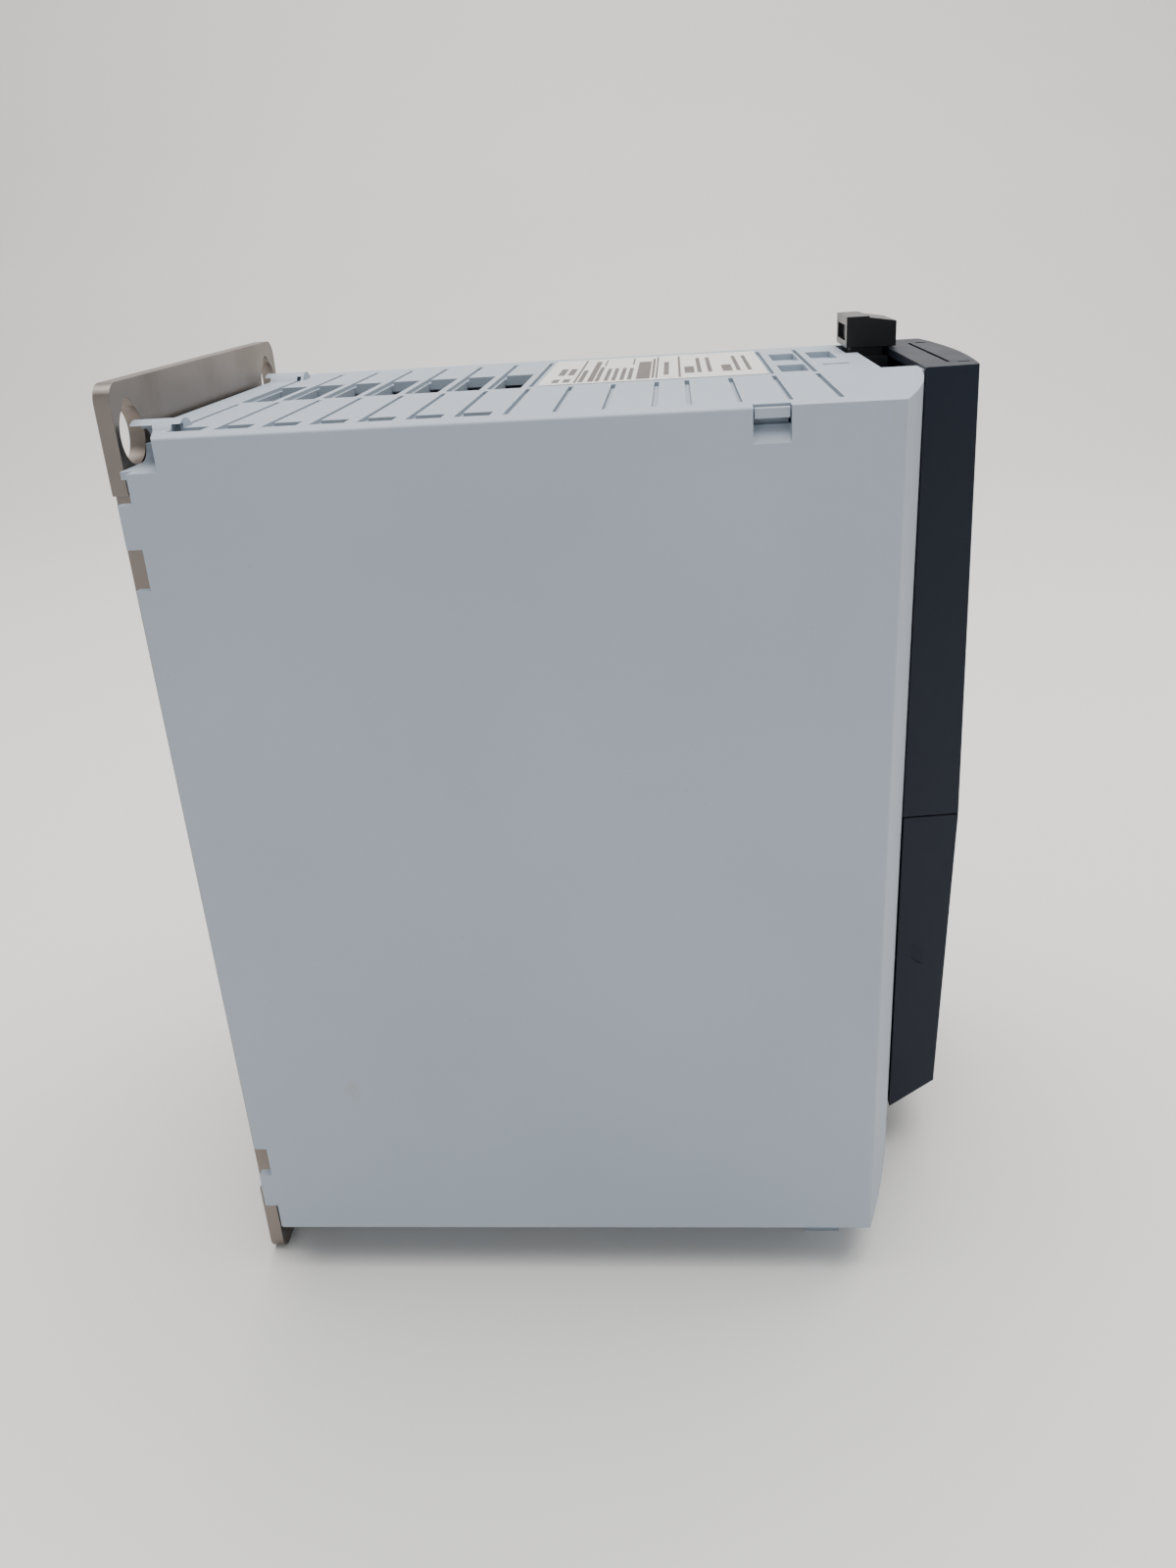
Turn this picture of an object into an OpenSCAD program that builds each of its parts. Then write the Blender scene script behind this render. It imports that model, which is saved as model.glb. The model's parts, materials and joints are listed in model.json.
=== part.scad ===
// Panel-mount variable frequency drive.
// X is the width (left side of the drive is -X), Y is the depth (the operator
// side faces -Y, the wall is at +Y), Z is up. The origin is under the middle.

/* [Overall] */
// Width over the two side walls
overall_w = 122.4; // [100:0.1:150]
// Height of the mounting plate, which is the tallest piece
overall_h = 225.7; // [185:0.1:275]
// Depth from the wall to the front of the covers
overall_d = 187; // [155:0.5:226]

/* [Mounting plate] */
// Thickness of the steel plate
plate_t = 3.5; // [2.5:0.1:4.5]
// How far an ear stops short of the side wall
ear_inset = 6.2; // [4:0.1:8]
// Height of each ear
ear_h = 22; // [18:0.5:27]
// How far the plate between the ears stops short of the side wall
waist_inset = 7.7; // [6.5:0.1:16]
// Corner radius of the ears
ear_r = 4; // [1:0.5:7]
// Distance from a fixing hole to the ear's side edge
hole_side = 7.9; // [7:0.1:10]
// Distance from a lower fixing hole to the plate's bottom edge
hole_low = 7.7; // [6:0.1:9]
// Distance from an upper fixing screw to the plate's top edge
hole_high = 6.4; // [5:0.1:8]
// Diameter of the fixing holes
fix_hole_d = 5.8; // [4.5:0.1:7]
// Diameter of the keyhole entries
keyhole_d = 12; // [9:0.5:14.4]
// How far the keyhole entry lies under its resting slot
keyhole_drop = 4.4; // [3:0.1:6]

/* [Housing] */
// Wall thickness of the housing halves
wall = 2.4; // [2:0.1:3]
// Gap between the top of the plate and the top of the housing
top_gap = 10; // [8:0.5:12]
// Gap between the bottom of the plate and the bottom of the housing
foot_h = 14; // [12:0.5:17]
// Width of the left half, up to the seam
left_half_w = 52.2; // [44:0.1:62]
// How far the side wall stops short of the cover's back
side_setback = 11.9; // [9:0.5:14]
// Radius of the curved front of the left half
front_curve_r = 214; // [190:1:260]
// Width of a foot, across and along
foot_w = 9; // [7:0.5:11]
// How far the feet stand in from the sides
foot_inset = 13.9; // [10:0.1:17]

/* [Vents] */
// Spacing of the grooves across the top
groove_pitch = 9.8; // [8.2:0.1:11.7]
// Width of a groove
groove_w = 1.1; // [0.7:0.1:1.4]
// Depth of a groove
groove_d = 0.9; // [0.5:0.1:1.1]
// Length of a vent across the top
vent_w = 30.5; // [22:0.5:35]
// Width of the bar between two vents
vent_bar = 2.2; // [1.8:0.1:3]
// Width of the short slots beside the left edge
edge_slot_w = 5.6; // [4:0.1:7]

/* [Covers] */
// Depth of the dark covers
cover_d = 16.4; // [15:0.1:19]
// Wall thickness of the covers
cover_wall = 2; // [1.6:0.1:2.4]
// Height of the line between the covers
split_z = 106.4; // [88:0.1:112]
// Width of the gap between the covers
split_gap = 0.4; // [0.3:0.05:0.6]
// Radius of the curved front
cover_curve_r = 290; // [245:1:345]
// Lean of the cover fronts away from the split, in degrees
cover_lean = 1.2; // [0.8:0.1:1.4]
// Height of the cover's sloping bottom edge
cover_chamfer_h = 9.5; // [8:0.5:11]
// Diameter of the cover's hinge pins
hinge_pin_d = 2; // [1.7:0.1:2.2]

/* [Operator module] */
// Width of the operator module
op_w = 51; // [48:0.5:55]
// Height of the operator module
op_h = 87.5; // [84:0.5:92]
// Width of a key
key_w = 11; // [9:0.5:13]
// Height of a key
key_h = 9; // [7.5:0.5:10.5]
// Travel of a key
key_travel = 0.7; // [0.4:0.1:0.8]
// Diameter of the speed dial
dial_d = 15; // [12:0.5:18]

/* [Plug] */
// Width of the service plug
plug_w = 21; // [17.5:0.5:22]
// Depth of the service plug
plug_l = 12.6; // [11:0.1:13.5]
// How high the plug stands over the housing
plug_h = 8.6; // [7:0.1:9.4]

/* [Fan and heat sink] */
// Side of the square fan
fan_size = 60; // [50:1:60]
// Height of the fan
fan_h = 15; // [12:0.5:18]
// Thickness of the heat sink's base
sink_base = 6; // [5:0.5:7]
// Depth of the fins
fin_d = 50; // [42:1:51]
// Thickness of a fin
fin_t = 1.8; // [1.5:0.1:2.2]
// Number of fins
fin_count = 15; // [12:1:18]

/* [Fits] */
// Gap between pieces that move past each other
slide_gap = 0.3; // [0.25:0.05:0.4]
// Radial gap of a running fit
run_gap = 0.05; // [0.03:0.01:0.08]

/* [Hidden] */
$fn = 48;

// Planes that everything is measured from
left_x = -overall_w / 2;
right_x = overall_w / 2;
wall_y = overall_d / 2;
front_y = -overall_d / 2;
plate_y = wall_y - plate_t;
body_top = overall_h - top_gap;
body_h = body_top - foot_h;
cover_back = front_y + cover_d;
side_front = cover_back + side_setback;
seam_x = left_x + left_half_w;
ear_w = overall_w - 2 * ear_inset;
plate_waist_w = overall_w - 2 * waist_inset;
hole_x = ear_w / 2 - hole_side;
lower_hole_z = hole_low;
upper_hole_z = overall_h - hole_high;
eps = 0.01;

// Inside of the housing
in_left = left_x + wall;
in_right = right_x - wall;
in_front = cover_back + wall;
in_bottom = foot_h + wall;
in_top = body_top - wall;

// Covers
cover_left = seam_x - 5.4;
cover_right = right_x - 1.2;
cover_draft = 2;
cover_mid = (cover_left + cover_right) / 2;
cover_top = body_top + 0.6;
cover_low = foot_h + 0.6;
hinge_r = 2.1;
hinge_x = cover_right - hinge_r;
hinge_y = cover_back - hinge_r - 0.4;
hinge_len = 12;
lug_h = 4;
hinge_sweep = norm([hinge_r, cover_back - hinge_y]) + slide_gap;
low_pin_z = cover_low + 16;
high_pin_z = split_z - 24;

// Operator module
op_mid = cover_mid - 2;
op_left = op_mid - op_w / 2;
op_top = cover_top;
op_low = op_top - op_h;
op_panel_y = front_y + 3.1;
op_skin = 1.6;
op_wall = 1.8;
op_board_y = op_panel_y + op_skin + key_travel + 0.9;
op_board_t = 1;
op_back_t = 1;
op_rear = front_y + 9.1;
bay_rear = front_y + 10;
bay_wall = 1.6;
rail_w = 1.2;
rail_l = 2;
key_pitch_x = 16;
key_pitch_z = 16;
key_row_z = op_top - 40.5;
key_flange = 0.6;
key_rise = 1.2;
display_w = 38;
display_h = 14;
display_z = op_top - 16.5;
lamp_z = display_z - display_h / 2 - 5;
lamp_count = 4;
lamp_pitch = 10;
dial_z = key_row_z - key_pitch_z - 19;
dial_h = 2.7;
dial_shaft_d = 3;

// Grooves and vents on the top
groove_first = side_front + 76.7;
groove_out = 8.2;
vent_x = seam_x + 3;
vent_l = groove_pitch - vent_bar;
edge_slot_l = vent_l - 0.9;
vent_count = floor((plate_y - 6 - groove_first) / groove_pitch);
rear_grooves = [for (i = [-3:vent_count]) groove_first + i * groove_pitch];
front_grooves = [for (i = [0:3]) groove_first - 36.2 - i * groove_pitch];
label_y0 = groove_first - 55.8;
label_y1 = groove_first - 0.8;
label_x0 = seam_x + 4;
label_x1 = right_x - 7;
label_t = 0.15;

// Latch window in the left wall
latch_y = side_front + 25;
latch_w = 7.3;
latch_h = 7;
latch_slit = 2.3;
latch_ramp_z = 3.7;
latch_arm = 24;
latch_pin_d = 2;
latch_x = in_left + 2.65;
latch_t = 1.5;
latch_roof = 1.1;

// Recess at the front of the top, with its socket
recess_y = cover_back + 8.1;
recess_x = seam_x + 5;
recess_z = body_top - 14;
socket_x0 = cover_right - 24.5;
socket_y1 = recess_y + 3;
plug_x0 = cover_right - plug_w - 2;
plug_y1 = recess_y + 2.6;
plug_y0 = plug_y1 - plug_l;
plug_skirt_z = cover_top + 0.4;
plug_in = 10;

// Fan, heat sink and boards
sink_y = plate_y - fin_d - sink_base;
sink_w = overall_w - 2 * wall - 10;
sink_z0 = in_bottom + fan_h + 2.6;
sink_z1 = body_top - 17;
fan_y = plate_y - fan_size / 2 - 2;
fan_z = in_bottom + 0.4;
fan_bore_d = fan_size - 3;
fan_hub_d = 26;
fan_shaft_d = 3;
board_t = 1.6;
power_y = sink_y - 14;
power_w = overall_w - 2 * wall - 6;
power_z0 = sink_z0 + 1;
power_z1 = body_top - 14;
module_w = 66;
module_h = 46;
module_z = (power_z0 + power_z1) / 2 + 4;
ctrl_y = in_front + 12.7;
ctrl_x0 = seam_x + 4;
ctrl_x1 = in_right - 4;
ctrl_z0 = foot_h + 48;
ctrl_z1 = recess_z - 4;
ctrl_boss_d = 7;
screw_d = 3;
cap_d = 30;
cap_l = 46;
cap_x = in_left + cap_d / 2 + 4;
cap_pitch = cap_d + 6;
cap_z = power_z0 + 42;
choke_d = 11;
term_x0 = seam_x + 8.5;
term_w = 54;
term_z0 = foot_h + 14;
term_h = 24;
term_y0 = in_front + 4;
term_l = 22;
term_count = 7;
term_pitch = term_w / term_count;
busbar_w = 4;
busbar_t = 1.2;
busbar_z = power_z0 + 12;
ctrl_term_w = 50;
ctrl_term_h = 12;
ctrl_term_l = 9;
ctrl_term_count = 10;

// Cable entries in the bottom
entry_t = 2;
entry_hole_d = 22;
entry_xs = [-27, 0, 27];
earth_d = 4;
earth_head_d = 7;
earth_x = sink_w / 2 - 8;
earth_y = fan_y - fan_size / 2 - 8;
entry_x1 = earth_x - earth_head_d / 2 - 0.9;
entry_x0 = -entry_x1;
entry_y0 = side_front + 20;
entry_y1 = entry_y0 + entry_hole_d + 14;

// A box given by its two corners
module block(a, b) {
    translate(a) cube(b - a);
}

// A cylinder along +Y
module rod_y(d, l) {
    rotate([-90, 0, 0]) cylinder(d = d, h = l);
}

// A rectangle with round corners, centred
module round_rect(w, h, r) {
    union() {
        square([w - 2 * r, h], center = true);
        square([w, h - 2 * r], center = true);
        for (sx = [-1, 1], sy = [-1, 1])
            translate([sx * (w / 2 - r), sy * (h / 2 - r)]) circle(r = r);
    }
}

// A round-cornered slab facing -Y: w wide, h tall, t thick, its back at y = 0
module slab_y(w, h, t, r) {
    rotate([90, 0, 0]) linear_extrude(t) round_rect(w, h, r);
}

// Outline of one keyhole, with its resting slot at the origin
module keyhole_cut() {
    union() {
        rod_y(fix_hole_d, plate_t + 2);
        translate([0, 0, -keyhole_drop]) rod_y(keyhole_d, plate_t + 2);
        translate([-fix_hole_d / 2, 0, -keyhole_drop])
            cube([fix_hole_d, plate_t + 2, keyhole_drop]);
    }
}

// A pan-head machine screw along +Y, its head's face at y = -head_h
module pan_screw_y(d, l, head_d, head_h) {
    difference() {
        union() {
            rod_y(d, l);
            translate([0, -head_h, 0]) rod_y(head_d, head_h);
        }
        translate([-head_d / 2 + 0.6, -head_h - eps, -0.4])
            cube([head_d - 1.2, head_h / 2, 0.8]);
        translate([-0.4, -head_h - eps, -head_d / 2 + 0.6])
            cube([0.8, head_h / 2, head_d - 1.2]);
    }
}

// ---- Mounting plate and heat sink ----

plate_screw_x = plate_waist_w / 2 - 12;
plate_screw_zs = [sink_z0 + 20, sink_z1 - 20];
plate_screw_d = 4;

module mounting_plate() {
    color("#8d8780")
    difference() {
        union() {
            for (z = [ear_h / 2, overall_h - ear_h / 2])
                translate([0, wall_y, z]) slab_y(ear_w, ear_h, plate_t, ear_r);
            for (z = [ear_h / 2, overall_h - ear_h])
                block([-ear_w / 2, plate_y, z], [ear_w / 2, wall_y, z + ear_h / 2]);
            block([-plate_waist_w / 2, plate_y, ear_h / 2],
                [plate_waist_w / 2, wall_y, overall_h - ear_h / 2]);
        }
        for (sx = [-1, 1]) {
            translate([sx * hole_x, plate_y - 1, lower_hole_z])
                rod_y(fix_hole_d, plate_t + 2);
            translate([sx * hole_x, plate_y - 1, upper_hole_z])
                keyhole_cut();
            for (z = plate_screw_zs)
                translate([sx * plate_screw_x, plate_y - 1, z])
                    rod_y(plate_screw_d, plate_t + 2);
        }
    }
}

module plate_screws() {
    color("#b9bbbd")
    for (sx = [-1, 1], z = plate_screw_zs)
        translate([sx * plate_screw_x, wall_y, z])
            rotate([180, 0, 0]) rod_y(plate_screw_d, plate_t + 6);
}

fin_pitch = (sink_w - fin_t) / (fin_count - 1);

module heat_sink() {
    color("#b4b7ba")
    difference() {
        union() {
            block([-sink_w / 2, sink_y, sink_z0], [sink_w / 2, sink_y + sink_base, sink_z1]);
            for (i = [0:fin_count - 1])
                translate([-sink_w / 2 + i * fin_pitch, sink_y + sink_base - eps, sink_z0])
                    cube([fin_t, fin_d + eps, sink_z1 - sink_z0]);
            for (sx = [-1, 1], z = plate_screw_zs)
                translate([sx * plate_screw_x - 4, plate_y - 14, z - 6]) cube([8, 14, 12]);
        }
        for (sx = [-1, 1], z = plate_screw_zs)
            translate([sx * plate_screw_x, plate_y - 8, z]) rod_y(plate_screw_d, 9);
        for (sx = [-1, 1])
            translate([sx * (module_w / 2 - 5), sink_y - 1, module_z])
                rod_y(screw_d, sink_base);
    }
}

// ---- Housing halves ----

// Plan of the whole housing, or of its inside when inset by a wall
module housing_plan(inset) {
    curve_x = left_x + 72.5;
    curve_y = side_front + sqrt(pow(front_curve_r, 2) - pow(72.5, 2));
    union() {
        intersection() {
            translate([left_x + inset, cover_back - 5])
                square([overall_w - 2 * inset, plate_y - cover_back + 5]);
            translate([left_x + inset, cover_back + inset])
                square([seam_x - left_x, plate_y - cover_back]);
            translate([curve_x, curve_y]) circle(r = front_curve_r - inset, $fn = 360);
        }
        translate([seam_x - 4, cover_back + inset])
            square([right_x - inset - seam_x + 4, plate_y - cover_back - inset]);
    }
}

module housing_shell() {
    difference() {
        translate([0, 0, foot_h]) linear_extrude(body_h) housing_plan(0);
        translate([0, 0, in_bottom]) linear_extrude(in_top - in_bottom) housing_plan(wall);
        block([in_left, plate_y - wall, in_bottom], [in_right, wall_y, in_top]);
    }
}

// Room in front of each keyhole, under the corner of the lid
corner_w = overall_w / 2 - hole_x + 4.4;
pocket_z = body_top - 6.7;
pocket_y = plate_y - 9.5;
pocket_r = 3.5;
pocket_wall = 1.6;
// Gap between the rear edge of the lid and the plate
lid_gap = 2;

// That room as a block with its inner lower corner round, grown by g
// and reaching out to x_out
module corner_space(sx, g, x_out, y0, y1, z1) {
    x0 = overall_w / 2 - corner_w - g;
    mirror([sx > 0 ? 0 : 1, 0, 0]) union() {
        block([x0, y0, pocket_z + pocket_r], [x_out, y1, z1]);
        block([x0 + pocket_r + g, y0, pocket_z - g], [x_out, y1, z1]);
        translate([x0 + pocket_r + g, y0, pocket_z + pocket_r])
            rod_y(2 * (pocket_r + g), y1 - y0);
    }
}

// Walls that close the corner spaces off from the inside of the housing
module corner_walls(sx) {
    corner_space(sx, pocket_wall, overall_w / 2 - wall + eps, pocket_y - pocket_wall,
        plate_y - 0.4, in_top + eps);
}

// Slanting cut that opens the corner of the lid for the upper screw
module lid_corner(sx) {
    mirror([sx > 0 ? 0 : 1, 0, 0]) translate([0, 0, in_top - eps])
        linear_extrude(wall + 1)
            polygon([[overall_w / 2 + 1, pocket_y], [overall_w / 2, pocket_y],
                [hole_x, pocket_y + 5], [hole_x, wall_y], [overall_w / 2 + 1, wall_y]]);
}

// Steps and notches in the rear edge that clear the plate's ears
module rear_cuts() {
    union() {
        for (sx = [-1, 1]) {
            corner_space(sx, 0, overall_w / 2 + 1, pocket_y, wall_y, in_top);
            lid_corner(sx);
            x0 = sx > 0 ? right_x - corner_w : left_x - 1;
            x1 = sx > 0 ? right_x + 1 : left_x + corner_w;
            block([x0, plate_y - 3.2, foot_h - 1], [x1, wall_y, foot_h + 7.7]);
            xa = sx > 0 ? in_right - 1 : left_x - 1;
            xb = sx > 0 ? right_x + 1 : in_left + 1;
            block([xa, plate_y - 3, body_top - 12.8], [xb, wall_y, body_top + 1]);
            for (z = [body_top - 30.4, foot_h + 17.6])
                block([xa, plate_y - 3.3, z], [xb, wall_y, z + 8.6]);
        }
        block([left_x - 1, plate_y - lid_gap, in_top - 1],
            [right_x + 1, wall_y, body_top + 1]);
    }
}

// Grooves across the top between two X positions
module top_grooves(x0, x1) {
    for (y = concat(rear_grooves, front_grooves))
        block([x0, y - groove_w / 2, body_top - groove_d],
            [x1, y + groove_w / 2, body_top + 1]);
}

// Openings in the bottom for the fan and the cables
module bottom_cuts() {
    union() {
        block([-fan_size / 2 - 2, fan_y - fan_size / 2 - 1, foot_h - 1],
            [fan_size / 2 + 2, wall_y, in_bottom + 1]);
        block([entry_x0, entry_y0, foot_h - 1], [entry_x1, entry_y1, in_bottom + 1]);
        for (sx = [-1, 1])
            translate([sx * earth_x, earth_y, foot_h - 1]) cylinder(d = earth_d, h = wall + 2);
    }
}

// One foot under the front of the housing
module foot(x) {
    translate([x - foot_w / 2, side_front + 5.7, 0]) cube([foot_w, foot_w, foot_h + wall]);
}

housing_boss_y = side_front + 12;
housing_boss_zs = [in_bottom + 8, in_top - 8];

module left_housing() {
    color("#9aa3a9")
    difference() {
        union() {
            intersection() {
                housing_shell();
                block([left_x - 1, front_y, 0], [seam_x, wall_y, overall_h]);
            }
            foot(left_x + foot_inset + foot_w / 2);
            for (z = housing_boss_zs)
                block([seam_x - 6, housing_boss_y - 4, z - 4], [seam_x, housing_boss_y + 4, z + 4]);
            for (z = housing_boss_zs)
                block([seam_x - 6, housing_boss_y - 2, z > body_h / 2 ? z : foot_h + 1],
                    [seam_x, housing_boss_y + 2, z > body_h / 2 ? in_top + 1 : z]);
            latch_ramp();
            corner_walls(-1);
        }
        rear_cuts();
        bottom_cuts();
        top_grooves(left_x + groove_out, seam_x + 1);
        for (i = [1:vent_count])
            block([left_x + groove_out, groove_first + i * groove_pitch - edge_slot_l, in_top - 1],
                [left_x + groove_out + edge_slot_w, groove_first + i * groove_pitch, body_top + 1]);
        block([left_x - 1, latch_y - latch_w / 2, body_top - latch_ramp_z],
            [in_left + 1.2, latch_y + latch_w / 2, body_top + 1]);
        block([in_left, latch_y - latch_w / 2, in_top - 1],
            [latch_x + latch_t / 2 + 1.4, latch_y + latch_w / 2, body_top - latch_roof]);
        translate([0, latch_y, body_top - latch_h]) latch_ramp_cut();
        for (z = housing_boss_zs)
            translate([seam_x - 7, housing_boss_y, z]) rotate([0, 90, 0]) cylinder(d = 2.4, h = 8);
    }
}

// Wedge behind the latch window, the sloping cut that forms it, and the pivot
module latch_ramp() {
    union() {
        block([in_left - eps, latch_y - latch_w / 2 - 1, body_top - latch_h - 3],
            [in_left + 1.4, latch_y + latch_w / 2 + 1, body_top - latch_ramp_z]);
        for (sy = [-1, 1])
            translate([0, latch_y + sy * (latch_w / 2 + 1.2), 0]) difference() {
                block([in_left - eps, -1, body_top - latch_arm - 3],
                    [latch_x + 2.6, 1, body_top - latch_arm + 3]);
                translate([latch_x, -2, body_top - latch_arm])
                    rod_y(latch_pin_d + 2 * run_gap, 4);
            }
    }
}

module latch_ramp_cut() {
    rotate([90, 0, 0]) translate([0, 0, -latch_w / 2]) linear_extrude(latch_w)
        polygon([[left_x - 1, -0.9], [in_left + 0.6, latch_h - latch_ramp_z + eps],
            [left_x - 1, latch_h - latch_ramp_z + eps]]);
}

module right_housing() {
    color("#9ea7ac")
    difference() {
        union() {
            difference() {
                union() {
                    intersection() {
                        housing_shell();
                        block([seam_x, front_y, 0], [right_x + 1, wall_y, overall_h]);
                    }
                    foot(right_x - foot_inset - foot_w / 2);
                    block([recess_x - wall, in_front - eps, recess_z - wall],
                        [in_right + eps, recess_y + wall, in_top + eps]);
                    block([socket_x0 - wall, recess_y, recess_z - wall],
                        [in_right + eps, socket_y1 + wall, in_top + eps]);
                    for (z = housing_boss_zs)
                        block([seam_x, housing_boss_y - 4, z - 4], [seam_x + 8, housing_boss_y + 4, z + 4]);
                    for (z = housing_boss_zs)
                        block([seam_x, housing_boss_y - 2, z > body_h / 2 ? z : foot_h + 1],
                            [seam_x + 8, housing_boss_y + 2, z > body_h / 2 ? in_top + 1 : z]);
                    for (i = [1:vent_count])
                        block([vent_x - 1, groove_first + i * groove_pitch, in_top - 6],
                            [vent_x + vent_w + 1, groove_first + i * groove_pitch + 1.4, in_top + 1]);
                    control_bosses();
                    corner_walls(1);
                }
                rear_cuts();
                bottom_cuts();
                top_grooves(seam_x + 4, right_x - groove_out);
                block([recess_x, cover_back - 1, recess_z], [in_right, recess_y, body_top + 1]);
                block([socket_x0, recess_y - 1, recess_z], [in_right, socket_y1, body_top + 1]);
                vents();
                top_pockets();
                front_opening();
                for (z = housing_boss_zs)
                    translate([seam_x - 1, housing_boss_y, z])
                        rotate([0, 90, 0]) cylinder(d = 3.2, h = 10);
            }
            hinge_lugs();
        }
        for (z = [low_pin_z, high_pin_z])
            translate([hinge_x, hinge_y, z - 1])
                cylinder(d = hinge_pin_d, h = hinge_len + 2);
    }
}

module vents() {
    for (i = [1:vent_count])
        block([vent_x, groove_first + i * groove_pitch - vent_l, in_top - 1],
            [vent_x + vent_w, groove_first + i * groove_pitch, body_top + 1]);
}

// Shallow pockets between the label and the recess
module top_pockets() {
    for (p = [[6.5, 22.5, 0], [32.5, 51.5, 0], [33.5, 52.5, 1]]) {
        y1 = front_grooves[2 + p[2]] - 2.4 + p[2] * 0.2;
        block([seam_x + p[0], y1 - 6.4, body_top - 1.5], [seam_x + p[1], y1, body_top + 1]);
    }
    block([seam_x + 18.6, front_grooves[3] - 9.6, body_top - 1.5],
        [seam_x + 20.6, front_grooves[3] - 3.4, body_top + 1]);
}

// Openings in the front wall: the terminals, and the module's contacts
module front_opening() {
    union() {
        block([term_x0 - 1, cover_back - 1, term_z0 - 3],
            [term_x0 + term_w + 1, in_front + 1, split_z - 8]);
        block([op_mid - 14, cover_back - 1, op_low + 14], [op_mid + 14, in_front + 1, op_low + 30]);
    }
}

ctrl_screw_xs = [ctrl_x0 + 5, ctrl_x1 - 5];
ctrl_screw_zs = [split_z + 6, ctrl_z1 - 6];

module control_bosses() {
    difference() {
        for (x = ctrl_screw_xs, z = ctrl_screw_zs)
            translate([x, in_front - eps, z]) rod_y(ctrl_boss_d, ctrl_y - in_front + eps);
        for (x = ctrl_screw_xs, z = ctrl_screw_zs)
            translate([x, ctrl_y - 8, z]) rod_y(screw_d, 9);
    }
}

// Lugs that carry the hinge pins of the lower cover
module hinge_lugs() {
    for (z = [low_pin_z, high_pin_z + hinge_len - lug_h])
        union() {
            translate([hinge_x, hinge_y, z]) cylinder(r = hinge_r, h = lug_h);
            block([hinge_x - hinge_r, hinge_y, z], [hinge_x + hinge_r, cover_back + eps, z + lug_h]);
        }
}

module housing_screws() {
    color("#8f9295")
    for (z = housing_boss_zs)
        translate([seam_x + 8, housing_boss_y, z]) rotate([0, -90, 0])
            union() {
                cylinder(d = 2.4, h = 13);
                translate([0, 0, -1.8]) cylinder(d = 5.2, h = 1.8);
            }
}

module rating_label() {
    color("#e6e4df")
    block([label_x0, label_y0 + 0.8, body_top], [label_x1, label_y1 - 0.8, body_top + label_t]);
}

// ---- Latch behind the window in the left wall ----

// A sprung arm with its tab in the window; it swings in about its lower end
module side_latch() {
    tab_w = latch_w - 2 * slide_gap;
    color("#9aa3a9")
    union() {
        translate([0, latch_y + tab_w / 2, 0]) rotate([90, 0, 0]) linear_extrude(tab_w)
            polygon([[left_x + 0.8, body_top - 0.4], [in_left - 0.2, body_top - 0.4],
                [in_left - 0.2, body_top - latch_roof - 0.3],
                [latch_x + latch_t / 2, body_top - latch_roof - 0.3],
                [latch_x + latch_t / 2, body_top - latch_arm],
                [latch_x - latch_t / 2, body_top - latch_arm],
                [latch_x - latch_t / 2, body_top - latch_slit],
                [left_x + 0.8, body_top - latch_slit]]);
        translate([latch_x, latch_y - latch_w / 2 - 2, body_top - latch_arm])
            rod_y(latch_pin_d, latch_w + 4);
    }
}

// ---- Fan ----

module fan_cover() {
    color("#8d969b")
    difference() {
        union() {
            block([-fan_size / 2 - 1.7, fan_y - fan_size / 2 - 0.7, foot_h],
                [fan_size / 2 + 1.7, plate_y - 0.4, foot_h + 1.8]);
            for (sx = [-1, 1])
                block([sx * (fan_size / 2 + 1) - 0.7, fan_y - 5, foot_h],
                    [sx * (fan_size / 2 + 1) + 0.7, fan_y + 5, in_bottom + 3]);
        }
        intersection() {
            translate([0, fan_y, foot_h - 1]) cylinder(d = fan_size - 6, h = 4);
            for (i = [-5:5])
                block([-fan_size / 2, fan_y + i * 5 - 1.5, foot_h - 1],
                    [fan_size / 2, fan_y + i * 5 + 1.5, foot_h + 3]);
        }
    }
}

module fan_frame() {
    color("#1d1e20")
    difference() {
        translate([0, fan_y, fan_z]) union() {
            difference() {
                linear_extrude(fan_h) round_rect(fan_size, fan_size, 3);
                translate([0, 0, -1]) cylinder(d = fan_bore_d, h = fan_h + 2);
            }
            cylinder(d = fan_hub_d, h = 1.6);
            for (a = [20:90:290]) rotate([0, 0, a])
                translate([fan_hub_d / 2 - 2, -1.4, 0]) cube([(fan_bore_d - fan_hub_d) / 2 + 3, 2.8, 1.6]);
            cylinder(d = 8, h = fan_h - 5);
        }
        translate([0, fan_y, fan_z + 1.6]) cylinder(d = 5, h = fan_h);
        for (sx = [-1, 1], sy = [-1, 1])
            translate([sx * (fan_size / 2 - 5), fan_y + sy * (fan_size / 2 - 5), fan_z - 1])
                cylinder(d = 4.3, h = fan_h + 2);
    }
}

module fan_rotor() {
    blade_out = fan_bore_d / 2 - 1.2;
    color("#232427")
    translate([0, fan_y, fan_z + 2.4])
    difference() {
        union() {
            cylinder(d = fan_hub_d, h = fan_h - 3.4);
            for (a = [0:51.4:359]) rotate([0, 0, a])
                intersection() {
                    translate([fan_hub_d / 2 - 1, 0, (fan_h - 3.4) / 2]) rotate([38, 0, 0])
                        translate([0, -6, -0.7]) cube([blade_out - fan_hub_d / 2 + 1, 12, 1.4]);
                    cylinder(r = blade_out, h = fan_h - 3.4);
                }
        }
        translate([0, 0, -1]) cylinder(d = 10, h = fan_h - 5.4);
        translate([0, 0, -1]) cylinder(d = fan_shaft_d, h = fan_h);
    }
}

module fan_shaft() {
    color("#c9cccf")
    translate([0, fan_y, fan_z + 1.8]) cylinder(d = fan_shaft_d, h = fan_h - 3.2);
}

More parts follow.
